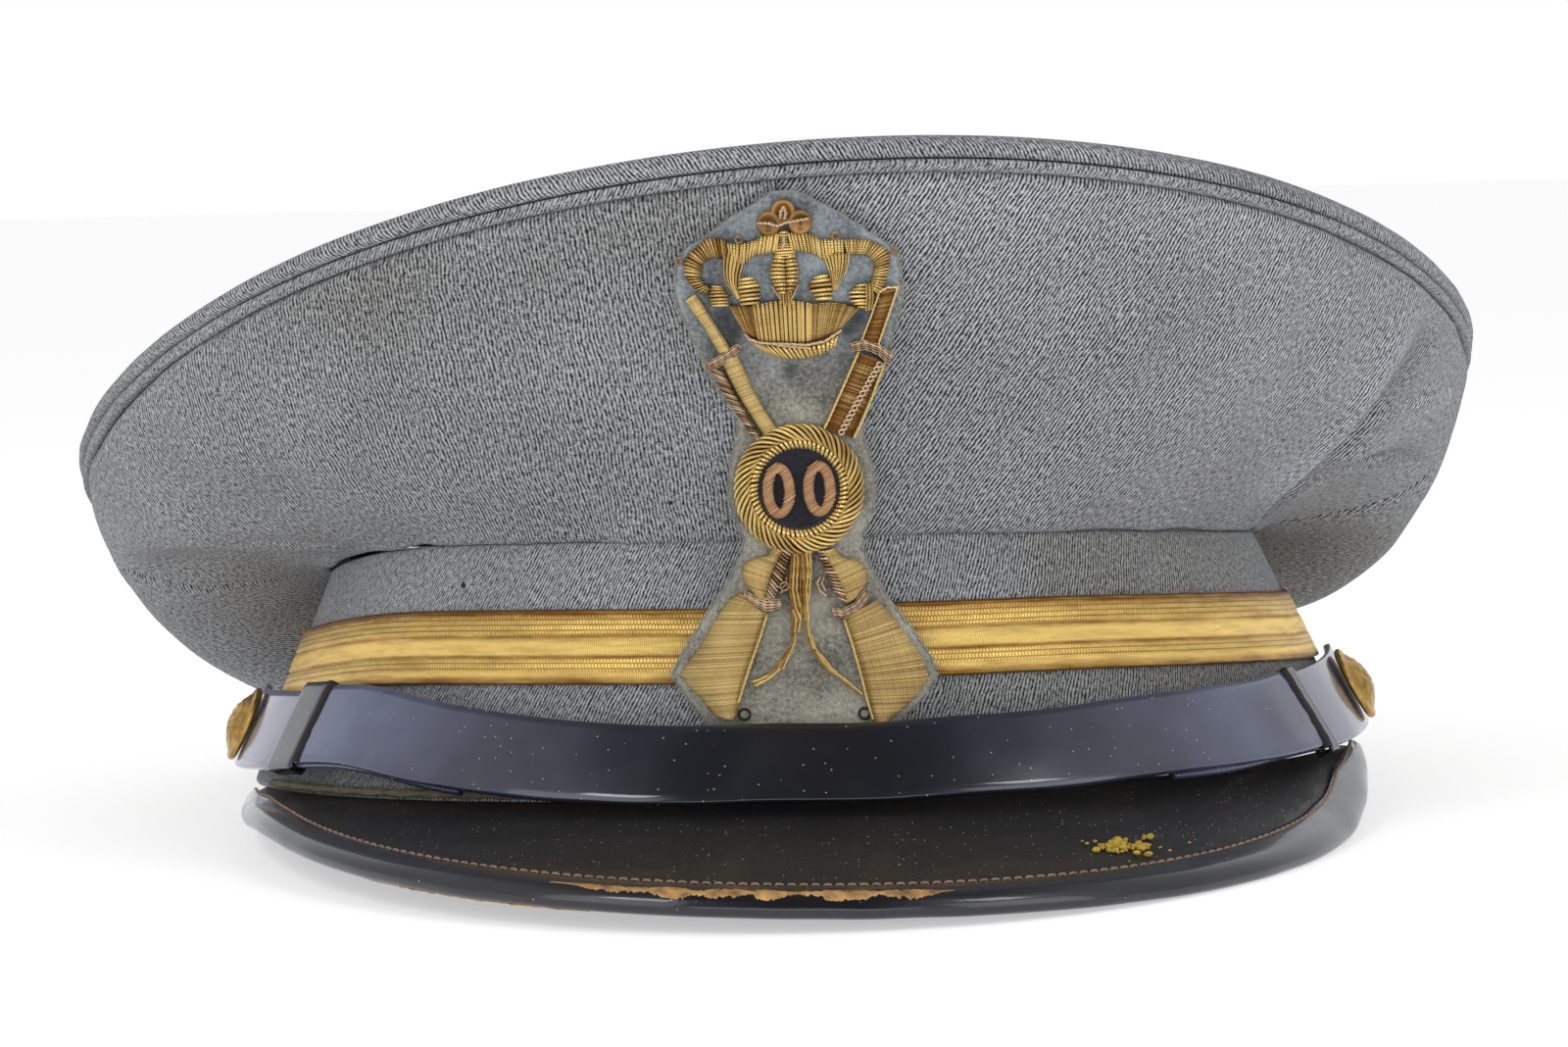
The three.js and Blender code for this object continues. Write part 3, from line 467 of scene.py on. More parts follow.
def new_material(name):
    material = bpy.data.materials.new(name)
    material.use_nodes = True
    material.node_tree.nodes.clear()
    return material, material.node_tree


def finish_material(tree, inputs):
    shader = add(tree, "ShaderNodeBsdfPrincipled", inputs)
    add(tree, "ShaderNodeOutputMaterial", {"Surface": shader.outputs["BSDF"]})
    return shader


def wool_twill(name, degrees, light, dark, spacing, depth=1.0):
    """Wool twill of marled yarn: slanted ribs broken into short strokes of light and dark yarn, which the eye
    reads as a grey marl, with a soft nap over them."""
    material, tree = new_material(name)
    coords = add(tree, "ShaderNodeTexCoord").outputs["UV"]
    sway = add(tree, "ShaderNodeTexNoise", {"Vector": coords, "Scale": 0.12, "Detail": 3.0})
    moved = add(tree, "ShaderNodeVectorMath", {0: sway.outputs["Color"], 1: (1.6, 1.6, 0), 2: coords},
                operation="MULTIPLY_ADD")
    turned = add(tree, "ShaderNodeMapping", {"Vector": moved.outputs[0], "Rotation": (0, 0, -degrees * DEG)})
    ribs = add(tree, "ShaderNodeTexWave", {"Vector": turned.outputs[0], "Scale": 0.314 / spacing,
                                           "Distortion": 1.3,
                                           "Detail": 2.0, "Detail Scale": 2.5, "Detail Roughness": 0.6},
               wave_type="BANDS", bands_direction="Y", wave_profile="SIN")
    stretched = add(tree, "ShaderNodeMapping", {"Vector": turned.outputs[0], "Scale": (1.1, 2.4, 1)})
    floats = add(tree, "ShaderNodeTexNoise", {"Vector": stretched.outputs[0], "Scale": 1.0, "Detail": 2.0,
                                              "Roughness": 0.6})
    nap = add(tree, "ShaderNodeTexNoise", {"Vector": coords, "Scale": 3.2, "Detail": 3.0, "Roughness": 0.85})
    rib_part = add(tree, "ShaderNodeMath", {0: ribs.outputs["Fac"], 1: 0.42 * depth, 2: -0.21 * depth},
                   operation="MULTIPLY_ADD")
    both = add(tree, "ShaderNodeMath", {0: floats.outputs[0], 1: 1.5, 2: rib_part.outputs[0]},
               operation="MULTIPLY_ADD")
    total = add(tree, "ShaderNodeMath", {0: nap.outputs[0], 1: 1.6, 2: both.outputs[0]}, operation="MULTIPLY_ADD")
    level = add(tree, "ShaderNodeMapRange", {"Value": total.outputs[0], "From Min": 1.26, "From Max": 1.86})
    tone = add(tree, "ShaderNodeMix", {"Factor": level.outputs[0]}, data_type="RGBA")
    tone.inputs[6].default_value, tone.inputs[7].default_value = rgba(dark), rgba(light)
    clouds = add(tree, "ShaderNodeTexNoise", {"Vector": coords, "Scale": 0.03, "Detail": 4.0})
    patches = add(tree, "ShaderNodeMapRange", {"Value": clouds.outputs[0], "From Min": 0.3, "From Max": 0.7})
    # The tint attribute darkens and lightens the cloth through this mix: partly soil and stain, partly painted shade
    # and highlight about the crown's folds.
    tint = add(tree, "ShaderNodeAttribute", attribute_name="tint")
    soil_and_shade_level = add(tree, "ShaderNodeMath", {0: tint.outputs["Fac"], 1: 1.2, 2: -0.3}, operation="MULTIPLY_ADD")
    where = add(tree, "ShaderNodeMath", {0: patches.outputs[0], 1: 0.4, 2: soil_and_shade_level.outputs[0]},
                operation="MULTIPLY_ADD")
    stain_and_shade = add(tree, "ShaderNodeMix", {"Factor": where.outputs[0]}, data_type="RGBA")
    stain_and_shade.inputs[6].default_value, stain_and_shade.inputs[7].default_value = (0.6, 0.57, 0.51, 1), (1.22, 1.24, 1.28, 1)
    aged_and_shaded = add(tree, "ShaderNodeMix", {"Factor": 1.0}, data_type="RGBA", blend_type="MULTIPLY")
    tree.links.new(tone.outputs[2], aged_and_shaded.inputs[6])
    tree.links.new(stain_and_shade.outputs[2], aged_and_shaded.inputs[7])
    bump = add(tree, "ShaderNodeBump", {"Strength": 0.8, "Distance": 0.00022, "Height": total.outputs[0]})
    finish_material(tree, {"Base Color": aged_and_shaded.outputs[2], "Roughness": 0.95, "Sheen Weight": 0.08,
                           "Sheen Roughness": 0.5, "Specular IOR Level": 0.15, "Normal": bump.outputs[0]})
    return material


def felt_cloth(name, light, dark):
    """Pressed wool felt: no weave, only matted short fibres, soft and matt."""
    material, tree = new_material(name)
    coords = add(tree, "ShaderNodeTexCoord").outputs["UV"]
    fibres = add(tree, "ShaderNodeTexNoise", {"Vector": coords, "Scale": 1.5, "Detail": 6.0, "Roughness": 0.85})
    clouds = add(tree, "ShaderNodeTexNoise", {"Vector": coords, "Scale": 0.12, "Detail": 3.0})
    both = add(tree, "ShaderNodeMath", {0: clouds.outputs[0], 1: 0.6, 2: fibres.outputs[0]},
               operation="MULTIPLY_ADD")
    ramp = add(tree, "ShaderNodeMapRange", {"Value": both.outputs[0], "From Min": 0.66, "From Max": 0.94})
    tone = add(tree, "ShaderNodeMix", {"Factor": ramp.outputs[0]}, data_type="RGBA")
    tone.inputs[6].default_value = rgba(dark)
    tone.inputs[7].default_value = rgba(light)
    tint = add(tree, "ShaderNodeAttribute", attribute_name="tint")
    rim = add(tree, "ShaderNodeMapRange", {"Value": tint.outputs["Fac"], "From Min": 0.5, "From Max": 1.0,
                                           "To Max": 0.75})
    spot = add(tree, "ShaderNodeSeparateXYZ", {0: coords})
    high = add(tree, "ShaderNodeMapRange", {"Value": spot.outputs["Y"], "From Min": 58.0, "From Max": 46.0})
    cool = add(tree, "ShaderNodeMix", {"Factor": high.outputs[0]}, data_type="RGBA")
    cool.inputs[6].default_value, cool.inputs[7].default_value = (1, 1, 1, 1), (0.86, 1.0, 1.3, 1)
    toned = add(tree, "ShaderNodeMix", {"Factor": 1.0}, data_type="RGBA", blend_type="MULTIPLY")
    tree.links.new(tone.outputs[2], toned.inputs[6])
    tree.links.new(cool.outputs[2], toned.inputs[7])
    # Painted shadow: a tint below 0.5 darkens the felt towards #2c2e30 beside and under the embroidered crown.
    shade = add(tree, "ShaderNodeMapRange", {"Value": tint.outputs["Fac"], "From Min": 0.0, "From Max": 0.5})
    dim = add(tree, "ShaderNodeMix", {"Factor": shade.outputs[0]}, data_type="RGBA")
    dim.inputs[6].default_value = rgba(linear("#2c2e30"))
    tree.links.new(toned.outputs[2], dim.inputs[7])
    edge = add(tree, "ShaderNodeMix", {"Factor": rim.outputs[0]}, data_type="RGBA")
    tree.links.new(dim.outputs[2], edge.inputs[6])
    edge.inputs[7].default_value = rgba(linear("#a3a294"))
    bump = add(tree, "ShaderNodeBump", {"Strength": 0.8, "Distance": 0.0003, "Height": fibres.outputs[0]})
    finish_material(tree, {"Base Color": edge.outputs[2], "Roughness": 0.98, "Sheen Weight": 0.4,
                           "Specular IOR Level": 0.15, "Normal": bump.outputs[0]})
    return material


def metal_thread(name, bright, brown, period, along, metallic=0.85, roughness=0.3, depth=0.00012, age=0.5):
    """Gilt wire or thread: fine turns every period mm across the strand's length, bright where it is clean
    and brown where the gilding has worn; at a tint of -1, on the padding under the strands, it is painted near-black
    as the shade in the gaps between strands."""
    material, tree = new_material(name)
    coords = add(tree, "ShaderNodeTexCoord").outputs["UV"]
    stretched = add(tree, "ShaderNodeMapping", {"Vector": coords, "Scale": along})
    streaks = add(tree, "ShaderNodeTexNoise", {"Vector": stretched.outputs[0], "Scale": 1.0, "Detail": 4.0,
                                               "Roughness": 0.7})
    tint = add(tree, "ShaderNodeAttribute", attribute_name="tint")
    place = add(tree, "ShaderNodeTexCoord").outputs["Object"]
    wear = add(tree, "ShaderNodeTexNoise", {"Vector": place, "Scale": 160.0, "Detail": 3.0})
    parts = add(tree, "ShaderNodeMath", {0: streaks.outputs[0], 1: tint.outputs["Fac"]}, operation="ADD")
    total = add(tree, "ShaderNodeMath", {0: parts.outputs[0], 1: wear.outputs[0]}, operation="ADD")
    share = add(tree, "ShaderNodeMapRange", {"Value": total.outputs[0], "From Min": 1.5 - age,
                                             "From Max": 1.5 + age})
    tone = add(tree, "ShaderNodeMix", {"Factor": share.outputs[0]}, data_type="RGBA")
    tone.inputs[6].default_value = rgba(brown)
    tone.inputs[7].default_value = rgba(bright)
    # Painted shade: tints from -1 to -0.6 turn the colour near-black for the padding seen in the gaps between
    # strands.
    gap_shade_mask = add(tree, "ShaderNodeMapRange", {"Value": tint.outputs["Fac"], "From Min": -1.0, "From Max": -0.6})
    gap_shaded = add(tree, "ShaderNodeMix", {"Factor": gap_shade_mask.outputs[0]}, data_type="RGBA")
    gap_shaded.inputs[6].default_value = rgba(linear("#2c1a08"))
    tree.links.new(tone.outputs[2], gap_shaded.inputs[7])
    turns = add(tree, "ShaderNodeTexWave", {"Vector": coords, "Scale": 0.314 / period, "Distortion": 0.6,
                                            "Detail": 1.0, "Detail Scale": 1.0},
                wave_type="BANDS", bands_direction="Y", wave_profile="SIN")
    bump = add(tree, "ShaderNodeBump", {"Strength": 0.8, "Distance": depth, "Height": turns.outputs["Fac"]})
    finish_material(tree, {"Base Color": gap_shaded.outputs[2], "Metallic": metallic, "Roughness": roughness,
                           "Normal": bump.outputs[0]})
    return material


def lace_braid(name, bright, brown):
    """Woven gold lace: a smooth bright middle, two knitted tracks and worn brown selvedges."""
    material, tree = new_material(name)
    coords = add(tree, "ShaderNodeTexCoord").outputs["UV"]
    split = add(tree, "ShaderNodeSeparateXYZ", {0: coords})
    place = add(tree, "ShaderNodeMath", {0: split.outputs["Y"], 1: BRAID_WIDTH}, operation="DIVIDE")
    ramp = add(tree, "ShaderNodeValToRGB", {0: place.outputs[0]})
    stops = [(0.0, 0.1), (0.07, 0.3), (0.13, 0.8), (0.2, 0.95), (0.33, 1.0), (0.37, 0.15), (0.41, 0.9),
             (0.55, 1.0), (0.61, 0.8), (0.64, 0.2), (0.68, 0.85), (0.82, 0.8), (0.87, 0.7), (0.93, 0.2),
             (1.0, 0.1)]
    while len(ramp.color_ramp.elements) < len(stops):
        ramp.color_ramp.elements.new(0.5)
    for element, (spot, level) in zip(ramp.color_ramp.elements, stops):
        element.position = spot
        element.color = (level, level, level, 1)
    along = add(tree, "ShaderNodeMapping", {"Vector": coords, "Scale": (0.09, 0.9, 1)})
    stains = add(tree, "ShaderNodeTexNoise", {"Vector": along.outputs[0], "Scale": 1.0, "Detail": 5.0,
                                              "Roughness": 0.7})
    worn = add(tree, "ShaderNodeMapRange", {"Value": stains.outputs[0], "From Min": 0.3, "From Max": 0.7,
                                            "To Min": -0.4, "To Max": 0.3})
    level = add(tree, "ShaderNodeMath", {0: ramp.outputs[0], 1: worn.outputs[0]}, operation="ADD", use_clamp=True)
    tone = add(tree, "ShaderNodeMix", {"Factor": level.outputs[0]}, data_type="RGBA")
    tone.inputs[6].default_value = rgba(brown)
    tone.inputs[7].default_value = rgba(bright)
    knit = add(tree, "ShaderNodeTexBrick", {
        "Vector": coords, "Color1": (1, 1, 1, 1), "Color2": (0.85, 0.85, 0.85, 1), "Mortar": (0.5, 0.42, 0.32, 1),
        "Scale": 1.0, "Mortar Size": 0.11, "Mortar Smooth": 0.6, "Brick Width": 0.55, "Row Height": 0.8},
        offset=0.5, offset_frequency=2)
    track = add(tree, "ShaderNodeValToRGB", {0: place.outputs[0]})
    while len(track.color_ramp.elements) < 8:
        track.color_ramp.elements.new(0.5)
    for element, (spot, value) in zip(track.color_ramp.elements, [(0, 0), (0.17, 0), (0.19, 1), (0.34, 1),
                                                                  (0.36, 0), (0.66, 0), (0.68, 1), (0.84, 1)]):
        element.position = spot
        element.color = (value, value, value, 1)
    fine = add(tree, "ShaderNodeTexWave", {"Vector": coords, "Scale": 0.9, "Distortion": 1.0, "Detail": 2.0},
               wave_type="BANDS", bands_direction="X")
    speckle = add(tree, "ShaderNodeMix", {"Factor": track.outputs[0], "A": tone.outputs[2]}, data_type="RGBA",
                  blend_type="MULTIPLY")
    tree.links.new(tone.outputs[2], speckle.inputs[6])
    tree.links.new(knit.outputs["Color"], speckle.inputs[7])
    relief = add(tree, "ShaderNodeMix", {"Factor": track.outputs[0]}, data_type="FLOAT")
    tree.links.new(fine.outputs["Fac"], relief.inputs[2])
    inverse = add(tree, "ShaderNodeMath", {0: 1.0, 1: knit.outputs["Fac"]}, operation="SUBTRACT")
    tree.links.new(inverse.outputs[0], relief.inputs[3])
    bump = add(tree, "ShaderNodeBump", {"Strength": 0.7, "Distance": 0.0002, "Height": relief.outputs[0]})
    finish_material(tree, {"Base Color": speckle.outputs[2], "Metallic": 0.7, "Roughness": 0.42,
                           "Normal": bump.outputs[0]})
    return material


def coated_leather(name, colour, roughness, coat, grain, depth, dust=0.0, haze=0.0):
    """Leather under a coat: patent is nearly a mirror, plain peak leather is grained; dust sits on both
    as pale specks, and haze dulls the coat in patches."""
    material, tree = new_material(name)
    coords = add(tree, "ShaderNodeTexCoord").outputs["Object"]
    pores = add(tree, "ShaderNodeTexNoise", {"Vector": coords, "Scale": grain, "Detail": 5.0, "Roughness": 0.6})
    cells = add(tree, "ShaderNodeTexVoronoi", {"Vector": coords, "Scale": 1250.0})
    specks = add(tree, "ShaderNodeMath", {0: cells.outputs["Distance"], 1: 0.15}, operation="LESS_THAN")
    some = add(tree, "ShaderNodeSeparateColor", {0: cells.outputs["Color"]})
    rare = add(tree, "ShaderNodeMath", {0: some.outputs[0], 1: dust}, operation="LESS_THAN")
    shown = add(tree, "ShaderNodeMath", {0: specks.outputs[0], 1: rare.outputs[0]}, operation="MULTIPLY")
    tone = add(tree, "ShaderNodeMix", {"Factor": shown.outputs[0]}, data_type="RGBA")
    tone.inputs[7].default_value = rgba(linear("#b9a78a"))
    clouds = add(tree, "ShaderNodeTexNoise", {"Vector": coords, "Scale": 70.0, "Detail": 4.0})
    tint = add(tree, "ShaderNodeAttribute", attribute_name="tint")
    touched = add(tree, "ShaderNodeMath", {0: tint.outputs["Fac"], 1: 0.5}, operation="SUBTRACT", use_clamp=True)
    film = add(tree, "ShaderNodeMath", {0: touched.outputs[0], 1: clouds.outputs[0]}, operation="MULTIPLY")
    base = add(tree, "ShaderNodeMix", {"Factor": film.outputs[0]}, data_type="RGBA")
    base.inputs[6].default_value, base.inputs[7].default_value = rgba(colour), rgba(linear("#8a92b4"))
    tree.links.new(base.outputs[2], tone.inputs[6])
    dull = add(tree, "ShaderNodeMapRange", {"Value": clouds.outputs[0], "From Min": 0.45, "From Max": 0.7,
                                            "To Min": roughness, "To Max": roughness + haze})
    bump = add(tree, "ShaderNodeBump", {"Strength": 0.6, "Distance": depth, "Height": pores.outputs[0]})
    finish_material(tree, {"Base Color": tone.outputs[2], "Roughness": dull.outputs[0], "Coat Weight": coat,
                           "Coat Roughness": 0.05, "Coat Tint": (0.86, 0.88, 1, 1),
                           "Specular IOR Level": 0.5, "Normal": bump.outputs[0]})
    return material


def plain_finish(name, colour, roughness, metallic=0.0, grain=900.0, depth=0.0001, spread=0.25):
    """Dyed thread, dark leather or stamped gilt: one colour, mottled a little."""
    material, tree = new_material(name)
    coords = add(tree, "ShaderNodeTexCoord").outputs["Object"]
    mottle = add(tree, "ShaderNodeTexNoise", {"Vector": coords, "Scale": grain, "Detail": 4.0})
    level = add(tree, "ShaderNodeMapRange", {"Value": mottle.outputs[0], "From Min": 0.3, "From Max": 0.7,
                                             "To Min": 1 - spread, "To Max": 1 + spread})
    tone = add(tree, "ShaderNodeMix", {"Factor": 1.0}, data_type="RGBA", blend_type="MULTIPLY")
    tone.inputs[6].default_value = rgba(colour)
    tree.links.new(level.outputs[0], tone.inputs[7])
    bump = add(tree, "ShaderNodeBump", {"Strength": 0.6, "Distance": depth, "Height": mottle.outputs[0]})
    finish_material(tree, {"Base Color": tone.outputs[2], "Roughness": roughness, "Metallic": metallic,
                           "Normal": bump.outputs[0]})
    return material


MATERIALS = {}


def finish_of(name):
    """The cap's finishes by name, made once from the panel's sizes and colours."""
    if not MATERIALS:
        tone, size = bpy.context.scene.cap_colours, bpy.context.scene.cap_sizes
        rib = size.rib_spacing / MM
        light, dark = tone.wool_light, tone.wool_dark
        MATERIALS.update({
            "left": wool_twill("wool_twill_left_front", 94, light, dark, rib),
            "right": wool_twill("wool_twill_right_front", 54, light, dark, rib, 1.5),
            "rear": wool_twill("wool_twill_rear", 60, light, dark, rib),
            "band": wool_twill("wool_twill_band", 62, light, dark, rib, 1.3),
            "top": wool_twill("wool_twill_top", 60, light, dark, rib, 1.2),
            "rim": wool_twill("wool_twill_rim", 60, light, dark, rib, 0.8),
            "felt": felt_cloth("wool_felt", tone.felt_light, tone.felt_dark),
            "braid": lace_braid("gold_lace", tone.gold, tone.tarnish),
            "bullion": metal_thread("gilt_bullion", tone.bullion, tone.tarnish, 0.28, (0.8, 0.8, 1)),
            "pink_wire": metal_thread("worn_copper_wire", tone.worn_wire, linear("#7d5a3c"), 0.28, (0.8, 0.8, 1)),
            "satin": metal_thread("gilt_satin_stitch", tone.satin, tone.tarnish, 0.3, (0.14, 2.6, 1),
                                  metallic=0.72, roughness=0.38, age=0.6),
            "numeral": metal_thread("tan_satin_stitch", tone.numeral, tone.tarnish, 0.75, (0.3, 0.3, 1),
                                    metallic=0.1, roughness=0.6, age=1.2),
            "disc": felt_cloth("night_felt", linear("#2d2b38"), linear("#121119")),
            "patent": coated_leather("patent_leather", tone.patent, 0.16, 0.6, 650.0, 0.00003, 0.12, 0.16),
            "peak": coated_leather("grained_peak_leather", tone.leather, 0.5, 0.12, 1500.0, 0.00022, 0.26, 0.15),
            "binding": coated_leather("patent_binding", tone.patent, 0.2, 0.5, 1900.0, 0.00006, 0.04, 0.15),
            "cord": plain_finish("khaki_cord", tone.cord, 0.85),
            "stitch": plain_finish("brown_linen_thread", tone.stitch, 0.8),
            "cut": plain_finish("cut_leather_edge", linear("#1c1512"), 0.8),
            "gilt": plain_finish("stamped_gilt", tone.button, 0.34, 1.0, 700.0, 0.00015, 0.35),
            "brown_gilt": plain_finish("browned_gilt_petal", linear("#94703e"), 0.36, 0.55, 300.0, 0.00006, 0.5),
            "crumb": plain_finish("yellow_crumbs", tone.crumb, 0.9, 0.0, 900.0, 0.0002, 0.4),
            "tan": plain_finish("worn_tan_leather", linear("#a9824f"), 0.8, 0.0, 500.0, 0.0003, 0.6),
            "lint": plain_finish("pale_lint", linear("#d8d8d4"), 0.9),
        })
    return MATERIALS[name]


# Cloth pieces
def clustered(count, edge):
    """Values from 0 to 1, with four more close to each end so that an edge can roll over."""
    near = np.array([0.0, 0.25, 0.6, 1.0]) * edge
    return np.concatenate([near, np.linspace(edge * 1.8, 1 - edge * 1.8, count), 1 - near[::-1]])


def make_band():
    """The band is a closed elliptic wall; its face is uneven by 0.15 mm and its edges are rounded."""
    work = Work()
    angle = np.arange(288) / 288 * 2 * math.pi
    t = clustered(26, 0.02)[:, None]
    height = t * band_top(angle)
    roll = -0.7 * (1 - np.sqrt(np.clip(1 - (1 - np.clip(np.minimum(t, 1 - t) / 0.02, 0, 1)) ** 2, 0, 1)))
    uneven = 0.14 * ripple(angle * 90, height, 3, 17) * np.sin(math.pi * t)
    outer, inner = band_point(angle, height, roll + uneven), band_point(angle, height, -BAND_WALL)
    wide = np.linspace(0, 2 * math.pi, 289) * 92
    uv = np.stack(np.broadcast_arrays(wide, t * 35.5), -1)
    work.shell(outer, inner, uv, around=True)
    # The band is painted darker around 48 degrees on its right side.
    soil_and_shade = np.broadcast_to(0.5 - 0.32 * bell(turn_from(angle, 48), 34), (len(t), 288))
    work.tints[0] = np.concatenate([soil_and_shade, soil_and_shade]).ravel()
    work.write("band_cloth", finish_of("band"), "cloth", ("band",))

    work = Work()
    angle = np.arange(576) / 576 * 2 * math.pi
    across = clustered(30, 0.03)[:, None]
    height = band_top(angle) - BRAID_BELOW - BRAID_WIDTH * (1 - across) + 0.16 * ripple(angle * 88, across, 8, 60)
    ridge = 0.75 - 0.3 * bell(across - 0.365, 0.02) - 0.3 * bell(across - 0.645, 0.02)
    ridge = ridge - 0.15 * bell(across - 0.12, 0.015) - 0.15 * bell(across - 0.9, 0.015)
    ridge = ridge * np.clip(np.minimum(across, 1 - across) / 0.03, 0, 1) ** 0.4
    ridge = ridge + 0.06 * ripple(angle * 88, across * 11, 12, 6)
    outer = band_point(angle, height, GAP + ridge)
    inner = band_point(angle, height, GAP - 0.1)
    wide = np.linspace(0, 2 * math.pi, 577) * 88
    uv = np.stack(np.broadcast_arrays(wide, across * BRAID_WIDTH), -1)
    work.shell(outer, inner, uv, around=True)
    work.write("gold_lace_braid", finish_of("braid"), "gold_braid", ("braid",))


def make_quarter(name, start, end, count, material):
    """One cloth quarter of the crown's side: the crown's curve plus folds and puckers along its normal."""
    work = Work()
    seam = 0.02 / BAND_HIGH[0]
    angle = mix(start + seam, end - seam, clustered(count, 0.016))
    rise = clustered(84, 0.02)[:, None]
    angle, rise = np.broadcast_arrays(angle, rise)
    base = crown_sheet(angle, rise)
    outward = np.stack([np.sin(angle), -np.cos(angle), 0 * angle], -1)
    normal = sheet_normals(base, outward)
    slack = bpy.context.scene.cap_sizes.fold_depth
    height = fold_height(angle, rise, FOLDS) + slack * fold_height(angle, rise, CREASES)
    height = height + slack * 0.22 * ripple(angle * 100, rise * 60, 21, 26) * np.sin(math.pi * rise)
    pucker = 0.28 * np.sin(angle * 100 / 5.5 + 1.6 * ripple(angle * 100, rise * 2, 5, 30))
    height = height + pucker * (bell(rise, 0.06) + bell(1 - rise, 0.06))
    side = np.minimum(angle - start, end - angle) * 100 / 1.8
    edge = np.minimum(side, np.minimum(rise, 1 - rise) * 60 / 1.6)
    height = height - 0.9 * (1 - np.clip(edge, 0, 1)) ** 2
    base = base - np.array([0, 0, 0.9]) * bell(rise, 0.02)[..., None]
    outer = base + normal * height[..., None]
    inner = base + normal * (np.minimum(height, 0) - CLOTH)[..., None] - np.array([0, 0, 0.15]) * rise[..., None]
    arc = np.cumsum(np.linalg.norm(np.diff(base, axis=0, prepend=base[:1]), axis=-1), 0) + 138
    uv = np.stack([arc * np.sin(0.55 * angle), arc * np.cos(0.55 * angle)], -1)
    work.shell(outer, inner, uv)
    # Tints for the twill: patches that are partly soil and partly painted shade and highlight.
    soil_and_shade = 0.5 + sum(amount * bell(turn_from(angle, middle), wide) * bell(rise - level, high)
                     for middle, level, wide, high, amount in SOIL_AND_SHADE)
    # Painted shade and highlight: the cloth is painted darker in the valleys of the right-hand folds and lighter on
    # their ridges.
    soil_and_shade = soil_and_shade + 0.11 * fold_height(angle, rise, FOLDS[2:])
    work.tints[0] = np.concatenate([soil_and_shade, soil_and_shade[::-1]]).ravel()
    work.write(name + "_cloth", finish_of(material), "cloth", (name,))


def make_crown():
    for name, start, end, count, material in (
            ("quarter_front_left", -math.pi / 2, FRONT_SEAM, 170, "left"),
            ("quarter_front_right", FRONT_SEAM, math.pi / 2, 170, "right"),
            ("quarter_rear_right", math.pi / 2, math.pi, 90, "rear"),
            ("quarter_rear_left", math.pi, 1.5 * math.pi, 90, "rear")):
        make_quarter(name, start, end, count, material)


def make_top():
    """The rim's welt is a round cloth cord; the top is a soft disc that rolls over it."""
    work = Work()
    angle = np.arange(512) / 512 * 2 * math.pi
    turn = np.linspace(-math.pi / 2, math.pi / 2, 9)
    out = np.concatenate([[-1.4], 0.62 * np.cos(turn), [-1.4]])[:, None]
    up = np.concatenate([[GAP], GAP + 0.9 + 0.9 * np.sin(turn), [GAP + 1.8]])[:, None]
    points = rim_ring(angle, out + 0.08 * ripple(angle * 114, up, 31, 14), up)
    wide = np.linspace(0, 2 * math.pi, 513) * 114
    spread = np.concatenate([out, out[:1]]) + np.concatenate([up, up[:1]])
    work.grid(points, np.stack(np.broadcast_arrays(wide, spread), -1), True, True)
    work.write("rim_welt_cloth", finish_of("rim"), "cloth", ("rim_welt",))

    work = Work()
    angle = np.arange(320) / 320 * 2 * math.pi

    def top_point(share, down):
        ring = rim_ring(angle, 0, 0)
        spot = np.stack([RIM_SHIFT + (ring[:, 0] - RIM_SHIFT) * share, ring[:, 1] * share,
                         top_height(angle, share) - down], -1)
        slack = 0.5 * ripple(spot[:, 0], spot[:, 1], 41, 60) * np.sin(math.pi * min(share, 1.0)) ** 2
        return spot + np.stack([0 * slack, 0 * slack, slack], -1)

    roll = smooth_curve([(-1.6, 5.6), (-0.6, 5.45), (0.35, 5.0), (0.95, 4.3), (1.1, 3.6), (0.9, 2.9), (0.2, 2.35),
                         (-1.5, 2.3)], 16)
    rows = [top_point(share, 0) for share in (0.001, 0.05, 0.12, 0.2, 0.3, 0.4, 0.5, 0.6, 0.7, 0.78, 0.84, 0.88,
                                              0.91, 0.935, 0.95, 0.962, 0.972)]
    rows += [rim_ring(angle, out + 0.1 * ripple(angle * 114, 0, 43, 18), up) for out, up in roll]
    rows += [top_point(share, down) for share, down in ((0.965, 2.2), (0.9, 1.8), (0.7, 1.8), (0.35, 1.8),
                                                        (0.001, 1.8))]
    points = np.stack(rows)
    uv = np.concatenate([points, points[:, :1]], 1)[..., :2].copy()
    arc = np.cumsum(np.linalg.norm(np.diff(points, axis=0, prepend=points[:1]), axis=-1), 0).mean(1)
    uv[17:] = np.stack(np.broadcast_arrays(np.linspace(0, 2 * math.pi, 321) * 114, arc[17:, None]), -1)
    last = (len(rows) - 1) * 320
    work.grid(points, uv, False, True, (np.arange(320), np.arange(320) + last))
    work.write("crown_top_cloth", finish_of("top"), "cloth", ("crown_top",))


